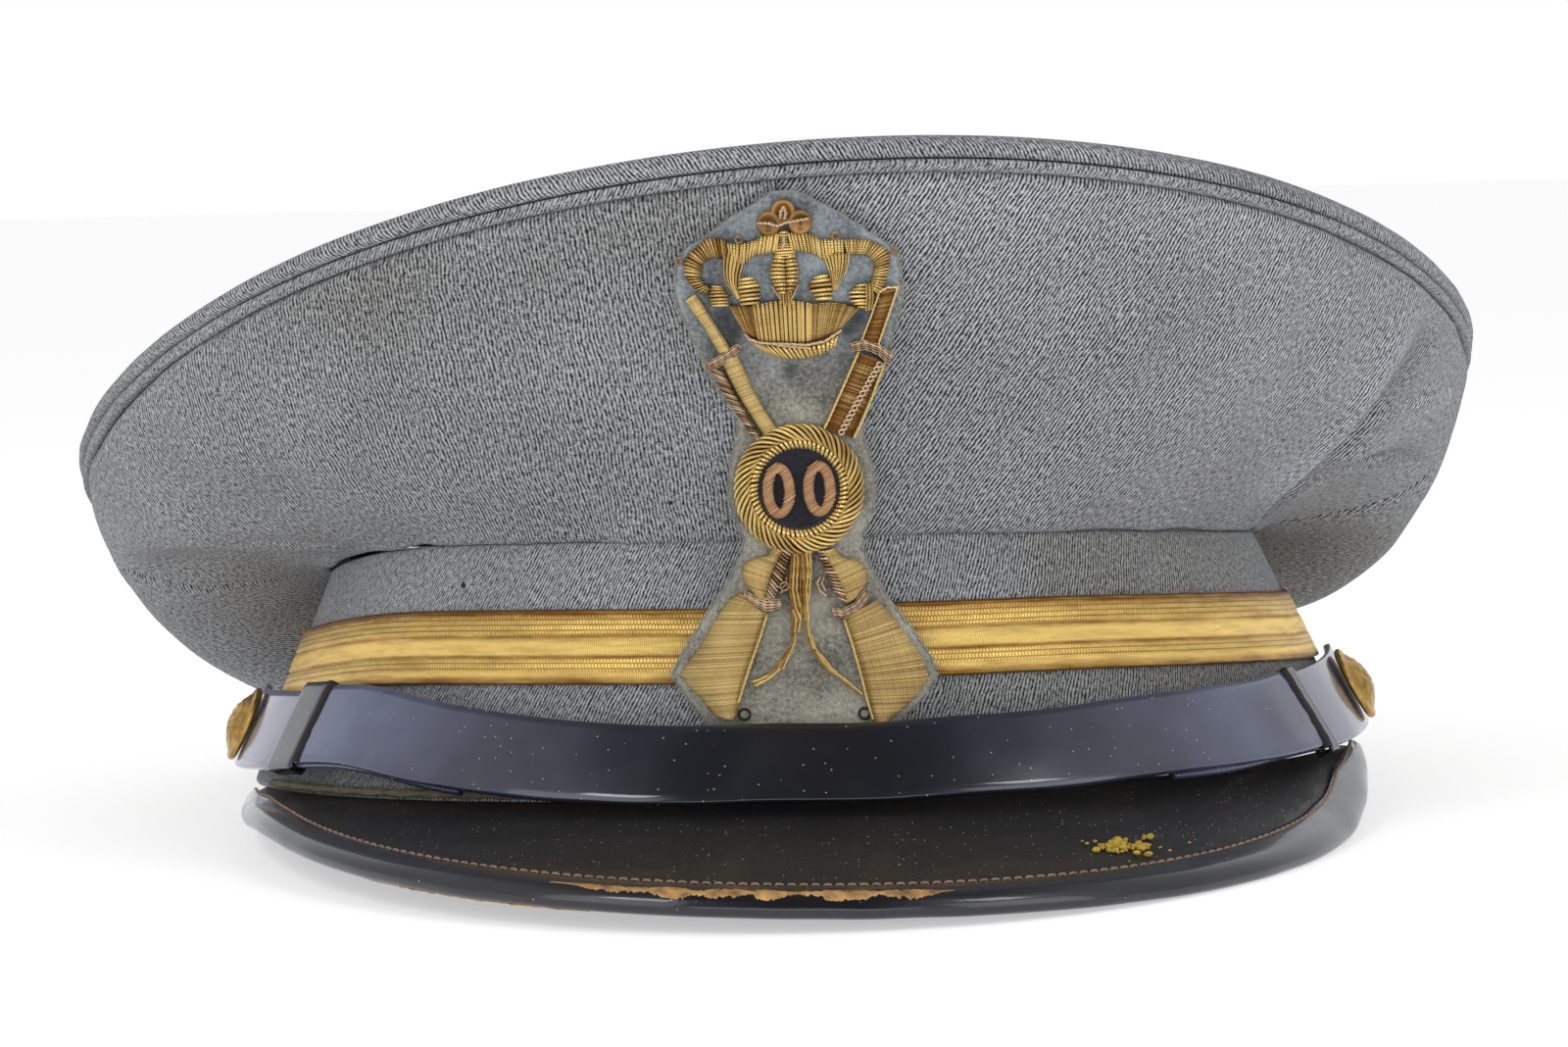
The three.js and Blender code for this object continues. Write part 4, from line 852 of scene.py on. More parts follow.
# Leather pieces
def make_peak():
    """The peak plate, its patent binding folded round the lip, the stitches along it and the cord at the band."""
    work = Work()
    turn = np.linspace(-PEAK_TURN, PEAK_TURN, 220)
    short = 1 - PLATE_SHORT / peak_reach(turn)
    t = clustered(44, 0.012)[:, None]
    share = t * short
    soft = 0.35 * (1 - np.clip(np.minimum(t, 1 - t) / 0.012, 0, 1)) ** 2
    dents = 0.09 * ripple(turn * 90, share * 60, 51, 20)
    upper = peak_point(turn, share, soft - dents * np.sin(math.pi * t))
    lower = peak_point(turn, share, PEAK_THICK - soft)
    work.shell(upper, lower, upper[..., :2].copy())
    work.write("peak_leather", finish_of("peak"), "peak_leather", ("peak",))

    work = Work()
    turn = np.linspace(-PEAK_TURN, PEAK_TURN, 420)
    half, slot = PEAK_THICK / 2, PEAK_THICK / 2 + GAP
    skin = slot + BINDING_LEATHER
    flap = np.minimum(FLAP, peak_reach(turn) / 2)
    bend = np.linspace(math.pi / 2, -math.pi / 2, 13)
    back = [flap, flap - 0.12, flap - 0.5, flap * 0.6] + [1.2 - (1.2 + FOLD) * np.cos(b) for b in bend]
    back += [flap * 0.6, flap - 0.5, flap - 0.12, flap, flap, 0.9 + 0 * flap, 0.9 + 0 * flap]
    rise = [slot + 0.05, skin - 0.12, skin, skin + 0.05] + [skin * math.sin(b) for b in bend]
    rise += [-skin - 0.05, -skin, -skin + 0.12, -slot - 0.05, -slot, -slot, slot]
    back, rise = (np.stack([0 * flap + level for level in rows]) for rows in (back, rise))
    wobble = 0.07 * ripple(turn * LIP_ARC, rise, 57, 12)
    points = peak_point(turn, 1 - (back + wobble) / peak_reach(turn), half - rise)
    wide = np.stack(np.broadcast_arrays(turn * LIP_ARC, np.arange(len(back) + 1)[:, None]), -1)
    column = np.arange(len(back)) * len(turn)
    work.grid(points, wide, True, False, (column, column + len(turn) - 1))
    work.write("peak_binding_patent", finish_of("binding"), "patent_leather", ("peak_binding",))

    work = Work()
    middle = np.linspace(-PEAK_TURN * 0.965, PEAK_TURN * 0.965, 150)
    step = (middle[1] - middle[0]) * 0.34
    reach = np.linspace(-1, 1, 6)
    turn = middle[:, None] + step * reach[None]
    inset = np.minimum(3.7, peak_reach(turn) / 2.6)
    for level, way in ((half - skin + 0.12, 1), (half + skin - 0.12, -1)):
        paths = peak_point(turn, 1 - inset / peak_reach(turn), level - way * 0.24 * (1 - reach ** 4))
        work.strands(paths, 0.21, 6, facing=(0, 0, 1))
    work.write("peak_binding_stitches", finish_of("stitch"), "patent_leather")

    work = Work()
    angle = np.linspace(-WELT_ANGLE, WELT_ANGLE, 900)
    path = band_point(angle, 0, 0.45 + WELT_RADIUS)
    path[:, 2] = WELT_RADIUS + 0.15 - PEAK_HALF_WIDTH * np.sin(angle) * EDGE_TWIST
    work.strands(path[None], WELT_RADIUS * 0.86, 12, 3, 0.2, 7.5, facing=(0, 0, 1))
    work.write("band_edge_cord", finish_of("cord"), "welt_thread", ("band_edge_welt",))


def strap_section(low, high, count=12):
    """Round the strap's section: across and out for its upper face, edges and lower face, with soft corners."""
    t = np.linspace(0, 1, count)
    soft = 0.018
    upper = [(mix(soft, 1 - soft, v), high + 0.14 * math.sin(math.pi * v) - 0.14) for v in t]
    edge = [(1 - soft * 0.3, high - 0.3), (1, high - 0.55), (1, low + 0.35), (1 - soft, low)]
    lower = [(mix(1 - soft, soft, v), low) for v in t[1:]]
    foot = [(0, low + 0.35), (0, high - 0.55), (soft * 0.3, high - 0.3)]
    return np.array(upper + edge + lower + foot)


def make_strap_part(name, replaced, start, end, low, high, columns, sway, seed):
    """A strip of strap: its section carried along the band's front with a slow sway and small dents."""
    work = Work()
    section = strap_section(low, high)
    angle = np.linspace(start, end, columns)
    across, out = section[:, 0][:, None], section[:, 1][:, None]
    top = smooth((out - (low + high) / 2) / (high - low) * 2 + 0.5)
    along = angle * STRAP_ARC
    dents = sway * (0.35 * ripple(along, across * 13, seed, 18) + ripple(along, 0, seed + 1, 45))
    drift = 0.02 * ripple(along, 0, seed + 2, 30)
    points = strap_point(angle, across + drift, out + dents * top)
    wide = np.stack(np.broadcast_arrays(along, np.append(across[:, 0], 0)[:, None] * STRAP_WIDTH), -1)
    column = np.arange(len(section)) * columns
    work.grid(points, wide, True, False, (column, column + columns - 1))
    film = 0.5 + 0.8 * bell(turn_from(angle, -56), 26) + 0.5 * bell(turn_from(angle, 46), 22)
    work.tints[0] = np.tile(film, len(section))
    work.write(name, finish_of("patent"), "patent_leather", replaced)


def make_strap():
    sway = bpy.context.scene.cap_sizes.strap_sway / MM
    lift = STRAP_THICK + GAP
    make_strap_part("chin_strap_patent", ("chin_strap",), *STRAP_CUTS, lift, lift + STRAP_THICK, 260, sway, 61)
    make_strap_part("strap_end_left_patent", ("strap_end_left",), -STRAP_ANGLE, STRAP_CUTS[0] + STRAP_LAP, 0,
                    STRAP_THICK, 90, sway * 0.6, 67)
    make_strap_part("strap_end_right_patent", ("strap_end_right",), STRAP_CUTS[1] - STRAP_LAP, STRAP_ANGLE, 0,
                    STRAP_THICK, 90, sway * 0.6, 71)
    for side, first, last in KEEPERS:
        work = Work()
        turn = np.arange(72) / 72 * 2 * math.pi
        reach_a, reach_o = 0.5 + 0.55 / STRAP_WIDTH, STRAP_THICK / 2 + 0.55
        power = 0.22
        around = 0.5 + reach_a * np.sign(np.cos(turn)) * np.abs(np.cos(turn)) ** power
        off = STRAP_THICK / 2 + reach_o * np.sign(np.sin(turn)) * np.abs(np.sin(turn)) ** power
        edge = np.arange(16) / 16 * 2 * math.pi
        along = np.sign(np.cos(edge)) * np.abs(np.cos(edge)) ** 0.4
        thick = 0.25 * np.sign(np.sin(edge)) * np.abs(np.sin(edge)) ** 0.6
        lip = 1 + 0.5 * bell(np.abs(along) - 0.85, 0.2)
        middle, half_span = (first + last) / 2 * DEG, (last - first) / 2 * DEG
        way_a, way_o = (around - 0.5) / reach_a, (off - STRAP_THICK / 2) / reach_o
        points = strap_point(middle + half_span * along[:, None],
                             around + way_a * (thick * lip)[:, None] / STRAP_WIDTH,
                             off + way_o * (thick * lip)[:, None])
        uv = np.stack(np.broadcast_arrays(np.arange(73) * 0.5, np.arange(17)[:, None] * 0.3), -1)
        work.grid(points, uv, True, True)
        work.write(f"keeper_{side}_patent", finish_of("patent"), "patent_leather", (f"keeper_{side}",))
    # The strap's cuts: a dark band 1.75 mm wide over the strap's top beside each cut, partly the raw cut edge and
    # partly painted shadow in the slot.
    work = Work()
    for cut in STRAP_CUTS:
        across = np.linspace(-0.012, 1.012, 60)[:, None]
        inward = np.array([-0.25, 0, 0.5, 1.1, 1.5, 1.75])[None] + 0.12 * ripple(across * 13, 0, 77, 2)
        angle = cut - np.sign(cut) * inward / STRAP_ARC
        bulge = np.array([-0.2, 0.1, 0.28, 0.25, 0.16, -0.05])
        height = lift + STRAP_THICK + bulge + 0.05 * ripple(across * 13, inward, 78, 1.5)
        spread = np.stack(np.broadcast_arrays(across * 13, inward), -1)
        work.shell(strap_point(angle, across, height), strap_point(angle, across, lift + 0.1 + 0 * height), spread)
    work.write("strap_cut_edges_and_slot_shadow", finish_of("cut"), "patent_leather")


def make_buttons():
    """Each button is a turned profile, domed, with a raised rim and a pebbled field."""
    profile = smooth_curve([(0.02, 0), (6.1, 0), (6.3, 0.7), (5.9, 1.1), (5.2, 1.15), (4.6, 1.6), (3.3, 2.4),
                            (1.8, 3.0), (0.02, 3.25)], 40)
    turn = np.arange(56) / 56 * 2 * math.pi
    for side, where in (("left", -BUTTON_ANGLE), ("right", BUTTON_ANGLE)):
        work = Work()
        seat = strap_point(where, 0.5, STRAP_THICK + GAP)
        axis = unit(strap_point(where, 0.5, STRAP_THICK + GAP + 1) - seat)
        east = unit(np.cross(axis, [0, 0, 1.0]))
        north = np.cross(east, axis)
        radius, rise = profile[:, 0][:, None], profile[:, 1][:, None]
        pebbles = 0.1 * ripple(radius * np.cos(turn), radius * np.sin(turn), 83, 1.1)
        pebbles = pebbles * smooth((5 - radius) / 2)
        ring = radius[..., None] * (np.cos(turn)[:, None] * east + np.sin(turn)[:, None] * north)
        points = seat + ring + ((rise + pebbles * (rise > 1.2))[..., None]) * axis
        uv = np.stack(np.broadcast_arrays(np.arange(57) * 0.6, radius), -1)
        work.grid(points, uv, False, True, (np.arange(56), np.arange(56) + 39 * 56))
        work.write(f"button_{side}_gilt", finish_of("gilt"), "gilt", (f"button_{side}",))


# Embroidery: tables are pixels of the levelled photograph
BASE = FELT_THICK + 1.5 * GAP
BACKING = [
    (197, 802, 824), (206, 786, 843), (222, 756, 872), (238, 732, 894), (250, 711, 912), (264, 701, 927),
    (290, 697, 931), (310, 700, 931), (330, 707, 925), (350, 716, 918), (375, 725, 912), (400, 739, 900),
    (430, 756, 886), (450, 750, 885), (475, 743, 893), (500, 741, 896), (525, 744, 893), (550, 755, 880),
    (567, 750, 879), (590, 738, 889), (615, 719, 902), (640, 702, 918), (662, 686, 934), (685, 674, 947),
    (702, 681, 950), (722, 697, 935), (750, 716, 903),
]


def lay(work, first, last, out, dome, radius, steps=8, power=2.4, bow=0.0, seed=1, tint=(0.2, 0.9), core=True,
        **shape):
    """Lays one strand from each spot of the first edge to the same one of the last, arched over a padded core:
    out = base + dome * (1 - |2s - 1| ** power), with a small random play in place, height and tint."""
    rng = np.random.default_rng(seed)
    first, last = np.asarray(first, float), np.asarray(last, float)
    count = len(first)
    s = np.linspace(0, 1, steps)
    play = bpy.context.scene.cap_sizes.strand_play
    spots = mix(first[:, None], last[:, None], s[None, :, None])
    along = last - first
    across = unit(np.stack([-along[:, 1], along[:, 0]], -1))
    shift = rng.normal(0, 0.1 * play, count)[:, None] * radius / PIXEL + bow * np.sin(math.pi * s)[None]
    spots = spots + across[:, None] * shift[..., None]
    gap = np.abs(np.sum(np.diff(spots, axis=0) * across[:-1, None], -1)) * PIXEL
    room = np.maximum(np.concatenate([gap[:1], gap]), np.concatenate([gap, gap[-1:]]))
    radius = np.clip(0.45 * room, 0.35 * radius, radius)
    arch = dome * (1 - np.abs(2 * s - 1) ** power)
    lift = rng.normal(0, 0.1 * play, (count, 1)) * radius * np.sin(math.pi * s)
    work.strands(badge_point(spots, out + arch[None] + lift), radius, tint=rng.uniform(*tint, count), **shape)
    if core:
        # The padded core gets a tint of -1, which paints it near-black as the shade between strands.
        body = mix(first[:, None], last[:, None], s[None, :, None])
        under = out + arch - radius * 0.55
        uv = np.stack(np.broadcast_arrays(np.arange(count)[:, None] * 0.4, s * 4), -1)
        floor = np.full(body.shape[:2], BASE - GAP - 0.05)
        work.shell(badge_point(body, under), badge_point(body, floor), uv, tint=-1)


def satin(work, first, last, count, out, dome, radius, **more):
    """Strands between two broken lines, both walked at even steps of their length."""
    lay(work, smooth_curve(first, count), smooth_curve(last, count), out, dome, radius, **more)


def lengthwise(work, first, last, count, out, dome, radius, steps=24, seed=1, tint=(0.2, 0.9), **shape):
    """Strands that run along the two edge lines, shared out between them and domed across."""
    rng = np.random.default_rng(seed)
    a, b = smooth_curve(first, steps), smooth_curve(last, steps)
    f = (np.arange(count) + 0.5) / count
    spots = mix(a[None], b[None], f[:, None, None])
    arch = out + dome * (1 - np.abs(2 * f - 1) ** 2.2)
    room = np.clip(0.46 * np.linalg.norm(b - a, axis=-1) * PIXEL / count, 0.4 * radius, radius)
    thick = np.broadcast_to(room, (count, steps))
    work.strands(badge_point(spots, arch[:, None]), thick, tint=rng.uniform(*tint, count), **shape)
    # The padded core gets a tint of -1, which paints it near-black as the shade between strands.
    edge = np.linspace(0, 1, 7)
    body = mix(a[None], b[None], edge[:, None, None])
    under = np.broadcast_to((out + dome * (1 - np.abs(2 * edge - 1) ** 2.2) - radius * 0.4)[:, None],
                            body.shape[:2])
    floor = np.full(body.shape[:2], BASE - GAP - 0.05)
    work.shell(badge_point(body, under), badge_point(body, floor), body * PIXEL, tint=-1)


def rings(work, spots, radius, wire, out, tint=0.5):
    """Small wire rings round the spots: ring = centre + radius (cos t, sin t)."""
    turn = np.linspace(0, 2 * math.pi * 0.985, 22)
    for x, y in spots:
        circle = np.stack([x + radius * np.cos(turn), y - radius * np.sin(turn)], -1)
        work.strands(badge_point(circle, out)[None], wire, 7, tint=[tint])


def make_felt():
    """The badge's felt: a flat shield with a rounded, slightly ragged edge and short hairs along it."""
    work = Work()
    table = np.array(BACKING, float)
    y = np.linspace(197, 750, 240)
    left = smooth_curve(table[:, [0, 1]], 600)
    right = smooth_curve(table[:, [0, 2]], 600)
    low = np.interp(y, left[:, 0], left[:, 1]) + 1.1 * ripple(y, 0, 91, 9) + 0.6 * ripple(y, 0, 92, 3)
    high = np.interp(y, right[:, 0], right[:, 1]) + 1.1 * ripple(y, 0, 93, 9) + 0.6 * ripple(y, 0, 94, 3)
    share = clustered(60, 0.03)
    x = mix(low[:, None], high[:, None], share[None])
    rows = np.broadcast_to(y[:, None], x.shape)
    inside = np.minimum(np.minimum(share, 1 - share)[None] * (high - low)[:, None],
                        np.minimum(y - 197, 750 - y)[:, None]) * PIXEL
    round_off = np.clip(inside / 1.1, 0, 1)
    out = FELT_THICK * np.sqrt(np.clip(1 - (1 - round_off) ** 2, 0.02, 1)) + 0.05 * ripple(x, rows, 95, 22)
    spots = np.stack([x, rows], -1)
    edge_and_shadow_tint = 0.5 + 0.5 * np.clip(1 - inside / 0.75, 0, 1)
    # Painted shadows: the tint is lowered in spots beside and under the crown's base; the paler edge is the felt's
    # own.
    for near_x, near_y, wide in ((747, 320, 13), (757, 338, 10), (884, 328, 12), (872, 341, 9), (812, 377, 9)):
        edge_and_shadow_tint = edge_and_shadow_tint - 0.4 * bell(np.hypot(x - near_x, rows - near_y), wide)
    outer, inner = badge_point(spots, out), badge_point(spots, 0 * out)
    tint = np.concatenate([edge_and_shadow_tint, edge_and_shadow_tint[::-1]])
    work.shell(outer, inner, spots * PIXEL)
    work.tints[0] = tint.ravel()
    rng = np.random.default_rng(97)
    edge = np.concatenate([np.stack([low, y], -1), np.stack([high, y], -1)])
    side = np.concatenate([np.full(len(y), -1.0), np.full(len(y), 1.0)])
    pick = rng.integers(0, len(edge), 1500)
    root = edge[pick] + np.stack([-2.5 * side[pick], rng.uniform(-1.2, 1.2, 1500)], -1)
    heading = rng.normal(0, 0.9, 1500)
    length = rng.uniform(2, 6.5, 1500) * bpy.context.scene.cap_sizes.fuzz
    tip = root + np.stack([side[pick] * np.cos(heading), np.sin(heading)], -1) * length[:, None]
    s = np.linspace(0, 1, 4)
    hair = mix(root[:, None], tip[:, None], s[None, :, None])
    lift = 0.75 + 0.35 * np.sin(math.pi * s)[None] * rng.uniform(0.2, 1, 1500)[:, None]
    work.strands(badge_point(hair, lift), 0.05, 3, tint=np.full(1500, 0.95))
    work.write("badge_felt", finish_of("felt"), "felt", ("badge_backing",))


# Bullion of the crown: (across or along, first edge, last edge, strands, level, dome, radius, tint from, tint to)
CROWN_PARTS = [
    ("across", [(752, 245), (741, 240.5), (733, 242), (726, 248), (717, 254), (711, 261), (709, 269), (710, 278),
                (714, 285), (719, 291), (727, 297)],
     [(752, 262), (741, 261), (734, 262), (728, 266), (725, 273), (726, 281), (730, 287), (735, 291)],
     24, 0.1, 0.95, 0.27, 0.0, 0.7),
    ("across", [(736, 289), (733, 298), (735, 309)], [(747, 290), (752, 299), (752, 309)], 7, 0.15, 0.9, 0.22,
     0.3, 1),
    ("along", [(752, 249), (749, 262), (748, 275), (750, 286), (757, 297), (762, 304)],
     [(771, 264), (769, 273), (766, 281), (764, 290), (765, 303)], 6, 0.2, 0.9, 0.25, 0.3, 1.0),
    ("across", [(754, 247), (765, 249), (775, 248), (783, 246), (790, 241), (801, 240), (808, 239)],
     [(756, 258), (765, 268), (771, 269), (775, 264), (783, 260), (795, 258.5), (804, 258)],
     16, 0.3, 0.9, 0.27, 0.5, 1.0),
    ("across", [(816, 239), (825, 240), (835, 240), (841, 243), (848, 248), (858, 249), (871, 249)],
     [(820, 258), (828, 258.5), (836, 260), (843, 263), (850, 269), (860, 264), (871, 263)],
     17, 0.3, 0.9, 0.27, 0.5, 1.0),
    ("across", [(808, 239), (807, 248), (803, 255), (802, 262)], [(815, 239), (816, 248), (821, 255), (822, 262)],
     9, 0.5, 0.5, 0.24, 0.4, 1.1),
    ("across", [(802, 263), (798, 271), (796.5, 279), (798, 288), (804, 299)],
     [(812, 264), (812, 272), (812, 280), (812, 288), (812, 299)], 10, 0.2, 0.8, 0.26, 0.4, 1.0),
    ("across", [(821.5, 263), (824, 271), (825, 279), (823, 288), (818, 299)],
     [(812.5, 264), (812.5, 272), (812.5, 280), (812.5, 288), (812.5, 299)], 10, 0.2, 0.8, 0.26, 0.4, 1.0),
    ("along", [(804, 298), (805, 306), (804, 313)], [(818, 298), (817, 306), (820, 313)], 5, 0.4, 0.5, 0.22,
     0.2, 1),
    ("across", [(765, 284), (762, 295), (765, 309)], [(779, 283), (785, 293), (783, 308)], 7, 0.35, 0.9, 0.26,
     0.4, 1.1),
    ("across", [(841, 286), (835, 293), (837, 301), (842, 307)], [(854, 284), (859, 293), (857, 307)],
     6, 0.35, 0.9, 0.27, 0.4, 1.1),
    ("across", [(883, 296), (875, 303), (877, 311), (884, 317)], [(892, 295), (892, 303), (892, 318)],
     7, 0.3, 0.9, 0.215, 0.4, 1.1),
    ("along", [(892, 294), (892, 308), (891, 321)], [(901, 293), (901, 308), (899, 320)], 3, 0.35, 0.5, 0.24,
     0.3, 1),
    ("along", [(850, 263), (853, 272), (856, 281), (857, 290), (859, 299)],
     [(876, 262), (875, 270), (872, 280), (868, 290), (863, 300)], 7, 0.2, 0.9, 0.25, 0.3, 1.0),
    ("across", [(873, 249.5), (885, 250), (897, 251), (905, 254), (912, 258), (917, 263), (918.5, 272), (916, 282),
                (914, 290), (911, 298), (906, 306)],
     [(876, 264), (884, 264.5), (891, 265), (897, 267), (901, 271), (902.5, 277), (901.5, 284), (899, 291),
      (898, 299)],
     27, 0.1, 0.95, 0.27, 0.3, 0.9),
    ("across", [(752, 309), (765, 310), (778, 311)], [(768, 339), (776, 344), (782, 347)], 30, 0.1, 0.8, 0.13,
     -0.1, 0.6),
    ("across", [(836, 311), (855, 310), (868, 312), (886, 318)], [(834, 351), (846, 348), (857, 344), (866, 337)],
     42, 0.1, 0.8, 0.13, 0.0, 0.8),
    ("across", [(777, 310), (790, 308), (812, 306), (828, 309), (837, 311)],
     [(781, 347), (795, 349), (812, 351), (826, 351), (835, 350)], 14, 0.25, 1.0, 0.31, 0.5, 0.9),
    ("across", [(768, 343), (785, 350), (800, 352), (815, 353), (835, 353), (850, 350), (862, 345)],
     [(788, 358), (799, 364), (812, 366.5), (825, 366.5), (838, 364), (850, 360.5), (858, 356)],
     19, 0.1, 0.8, 0.3, 0.6, 1.1),
]
# Twisted wires as (line, level, radius)
CROWN_WIRES = [
    ([(767, 338), (771, 344), (782, 348.5), (796, 350), (812, 351), (830, 353), (849, 350), (867, 339)], 0.95,
     0.24),
    ([(790, 349), (802, 352), (815, 354), (832, 356)], 0.95, 0.2),
    ([(877, 262), (876, 272), (872, 284)], 0.8, 0.18),
    ([(811, 241), (812, 250), (809, 256)], 1.2, 0.2), ([(797, 292), (802, 300), (806, 306)], 0.8, 0.18),
    ([(824, 292), (820, 300), (817, 306)], 0.8, 0.18),
]
EDGE_WIRES = [
    ([(883, 362), (866, 396), (849, 430), (844, 439)], 0.95, 0.2),
    ([(909, 374), (894, 410), (881, 437), (874, 450)], 0.85, 0.24),
    ([(925, 300), (915, 326), (903, 356)], 0.95, 0.2), ([(906, 303), (915, 299), (926, 299)], 0.9, 0.2),
    ([(906, 304), (897, 327), (885, 354)], 0.9, 0.16),
    ([(776, 628), (768, 650), (759, 672), (750, 695), (742, 717)], 0.95, 0.2),
    ([(855, 637), (862, 662), (869, 692), (875, 722), (880, 742)], 0.95, 0.2),
]


def embroider(work, parts):
    for k, (way, first, last, count, level, dome, radius, low, high) in enumerate(parts):
        sewn = satin if way == "across" else lengthwise
        sewn(work, first, last, count, BASE + level, dome, radius, seed=200 + k, tint=(low, high))


def wires(work, lines, **more):
    for line, level, radius in lines:
        shape = dict(sides=8, lobes=2, depth=0.22, pitch=radius * 4, tint=[0.8])
        shape.update(more)
        work.strands(badge_point(smooth_curve(line, 80), BASE + level)[None], radius, **shape)


def make_badge_crown():
    """The embroidered crown: arches, lobes and spindle of bullion, each laid over padding, and the rosette."""
    work = Work()
    embroider(work, CROWN_PARTS)
    work.write("badge_crown_bullion", finish_of("bullion"), "bullion", ("badge_crown",))
    work = Work()
    wires(work, CROWN_WIRES)
    rings(work, [(705, 262.5), (766, 244), (864, 245), (924, 263)], 3.4, 0.2, BASE + 0.5, 0.3)
    work.write("badge_crown_wires", finish_of("pink_wire"), "bullion")

    work = Work()
    turn = np.arange(49) / 48 * 2 * math.pi
    for x, y, level in ((812, 219, 0.25), (797, 230, 0.4), (829, 230, 0.4)):
        reach = np.array([12.6, 12.1, 10.6, 8, 4, 0.4])[:, None]
        rise = np.array([0.1, 0.6, 0.85, 0.6, 0.15, 0.05])[:, None] + level
        spots = np.stack([x + reach * np.cos(turn), y - reach * np.sin(turn)], -1)
        floor = badge_point(spots[:, :-1], BASE - GAP)
        work.shell(badge_point(spots[:, :-1], BASE + rise), floor, spots * PIXEL, around=True)
    work.write("badge_rosette_petals", finish_of("brown_gilt"), "bullion", ("badge_rosette",))
    work = Work()
    wires(work, [([(785, 229), (797, 230), (806, 233), (814, 230), (824, 229), (838, 227)], 1.25, 0.24),
                 ([(809, 226), (810, 219), (813, 214), (815, 221), (813, 227)], 1.25, 0.22)], pitch=0.6, depth=0.3)
    work.write("badge_rosette_wires", finish_of("pink_wire"), "bullion")


def make_rifles():
    """The crossed rifles: satin barrels, slanted bullion beside them, wire collars, locks and satin butts."""
    parts = {
        "rifle_barrel_left": [
            ("across", [(708, 303), (726, 330), (740, 357)], [(720, 296), (738, 328), (753, 354)], 62, 0.1, 1.1,
             0.13, 0.6, 1.4),
            ("across", [(741, 366), (755, 398), (773, 430), (780, 442)],
             [(759, 360), (774, 398), (790, 428), (797, 437)],
             76, 0.1, 1.2, 0.13, 0.6, 1.4)],
        "rifle_barrel_right": [
            ("across", [(906, 304), (898, 326), (886, 354)], [(926, 300), (915, 326), (904, 357)], 62, 0.1, 1.1,
             0.13, -0.5, 0.5),
            ("across", [(882, 363), (866, 396), (849, 430), (843, 438)],
             [(908, 373), (893, 409), (880, 437), (873, 450)],
             76, 0.1, 1.2, 0.13, -0.5, 0.5)],
        "rifle_butt_left": [
            ("across", [(785, 560), (779, 567), (766, 568.5), (755, 575), (751.5, 587), (756, 598), (763, 608)],
             [(798, 563), (792, 573), (786, 583), (782, 594), (779, 604), (775, 615)], 56, 0.1, 1.3, 0.13, 0.4,
             1.1),
            ("across", [(748, 604), (736, 612), (722, 632), (703, 661), (683, 685), (690, 697), (706, 715),
                        (716, 729),
                        (724, 733)],
             [(758, 612), (777, 625), (772, 641), (764, 662), (755, 684), (748, 702), (743, 718), (740, 726),
              (737, 734)],
             120, 0.1, 1.3, 0.13, 0.4, 1.2)],
        "rifle_butt_right": [
            ("across", [(833, 567), (840, 583), (846, 598), (851, 610), (857, 622)],
             [(849, 563), (856, 573), (868, 575), (878, 581), (881.5, 591), (880, 602), (873, 613)], 56, 0.1,
             1.3, 0.13, 0.2, 1.0),
            ("across", [(854, 636), (860, 655), (866, 680), (871, 702), (876, 726), (880, 742), (884, 747)],
             [(891, 619), (905, 636), (921, 660), (935, 682), (940, 703), (928, 718), (910, 734), (892, 746)],
             120, 0.1, 1.3, 0.13, 0.3, 1.1)],
    }
    for name, rows in parts.items():
        work = Work()
        embroider(work, rows)
        work.write(name + "_satin", finish_of("satin"), "bullion", (name,))

    work = Work()
    slanted = [
        ([(729, 370), (742, 398), (760, 428), (770, 445)], [(744, 378), (758, 408), (774, 438), (780, 447)], 24,
         0.27),
        ([(793, 560), (787, 576), (780, 594), (775, 608)], [(803, 568), (798, 582), (789, 601), (781, 620)], 15,
         0.22),
        ([(832, 566), (837, 583), (844, 600), (850, 614)], [(841, 566), (849, 583), (856, 602), (861, 620)], 15,
         0.22),
    ]
    collars = [
        ([(727, 365), (742, 358), (757, 349)], [(731, 375), (747, 368), (763, 358)]),
        ([(874, 353), (889, 350), (904, 355), (918, 366)], [(876, 362), (890, 361), (903, 367), (913, 378)]),
        ([(752, 601), (763, 607), (777, 611), (790, 613)], [(753, 611), (764, 619), (777, 626), (792, 622)]),
        ([(842, 623), (853, 626), (866, 620), (877, 607)], [(845, 635), (857, 635), (872, 630), (884, 616)]),
    ]
    for k, (first, last) in enumerate(collars):
        lengthwise(work, first, last, 5, BASE + 0.7, 0.8, 0.21, steps=60, seed=250 + k, tint=(0.3, 1.3), sides=8,
                   lobes=2, depth=0.3, pitch=1.1)
    for k, (first, last, count, radius) in enumerate(slanted):
        satin(work, first, last, count, BASE + 0.4, 0.8, radius, seed=240 + k, tint=(-0.1, 1.1))
    rings(work, [(729, 369), (758, 354), (795, 600), (909, 307)], 4.3, 0.2, BASE + 0.6, 0.6)
    chain = smooth_curve([(905, 374), (893, 392), (880, 413), (869, 431), (860, 446)], 140)
    along = unit(np.gradient(chain, axis=0))
    beat = np.linspace(0, 15 * math.pi, 140)
    for phase in (0, math.pi):
        swing = np.stack([-along[:, 1], along[:, 0]], -1) * 2.7 * np.sin(beat + phase)[:, None]
        work.strands(badge_point(chain + swing, BASE + 1.5 + 0.15 * np.cos(beat + phase))[None], 0.17, 7,
                     tint=[1.0])
    wires(work, [([(801, 588), (803, 596), (798, 604), (790, 606)], 0.3, 0.26),
                 ([(798, 590), (797, 598), (792, 602)], 0.3, 0.22),
                 ([(833, 592), (829, 598), (832, 607), (838, 612)], 0.3, 0.26),
                 ([(837, 592), (834, 599), (838, 607)], 0.3, 0.22)],
          depth=0.0)
    work.write("rifle_twisted_wires", finish_of("pink_wire"), "bullion")

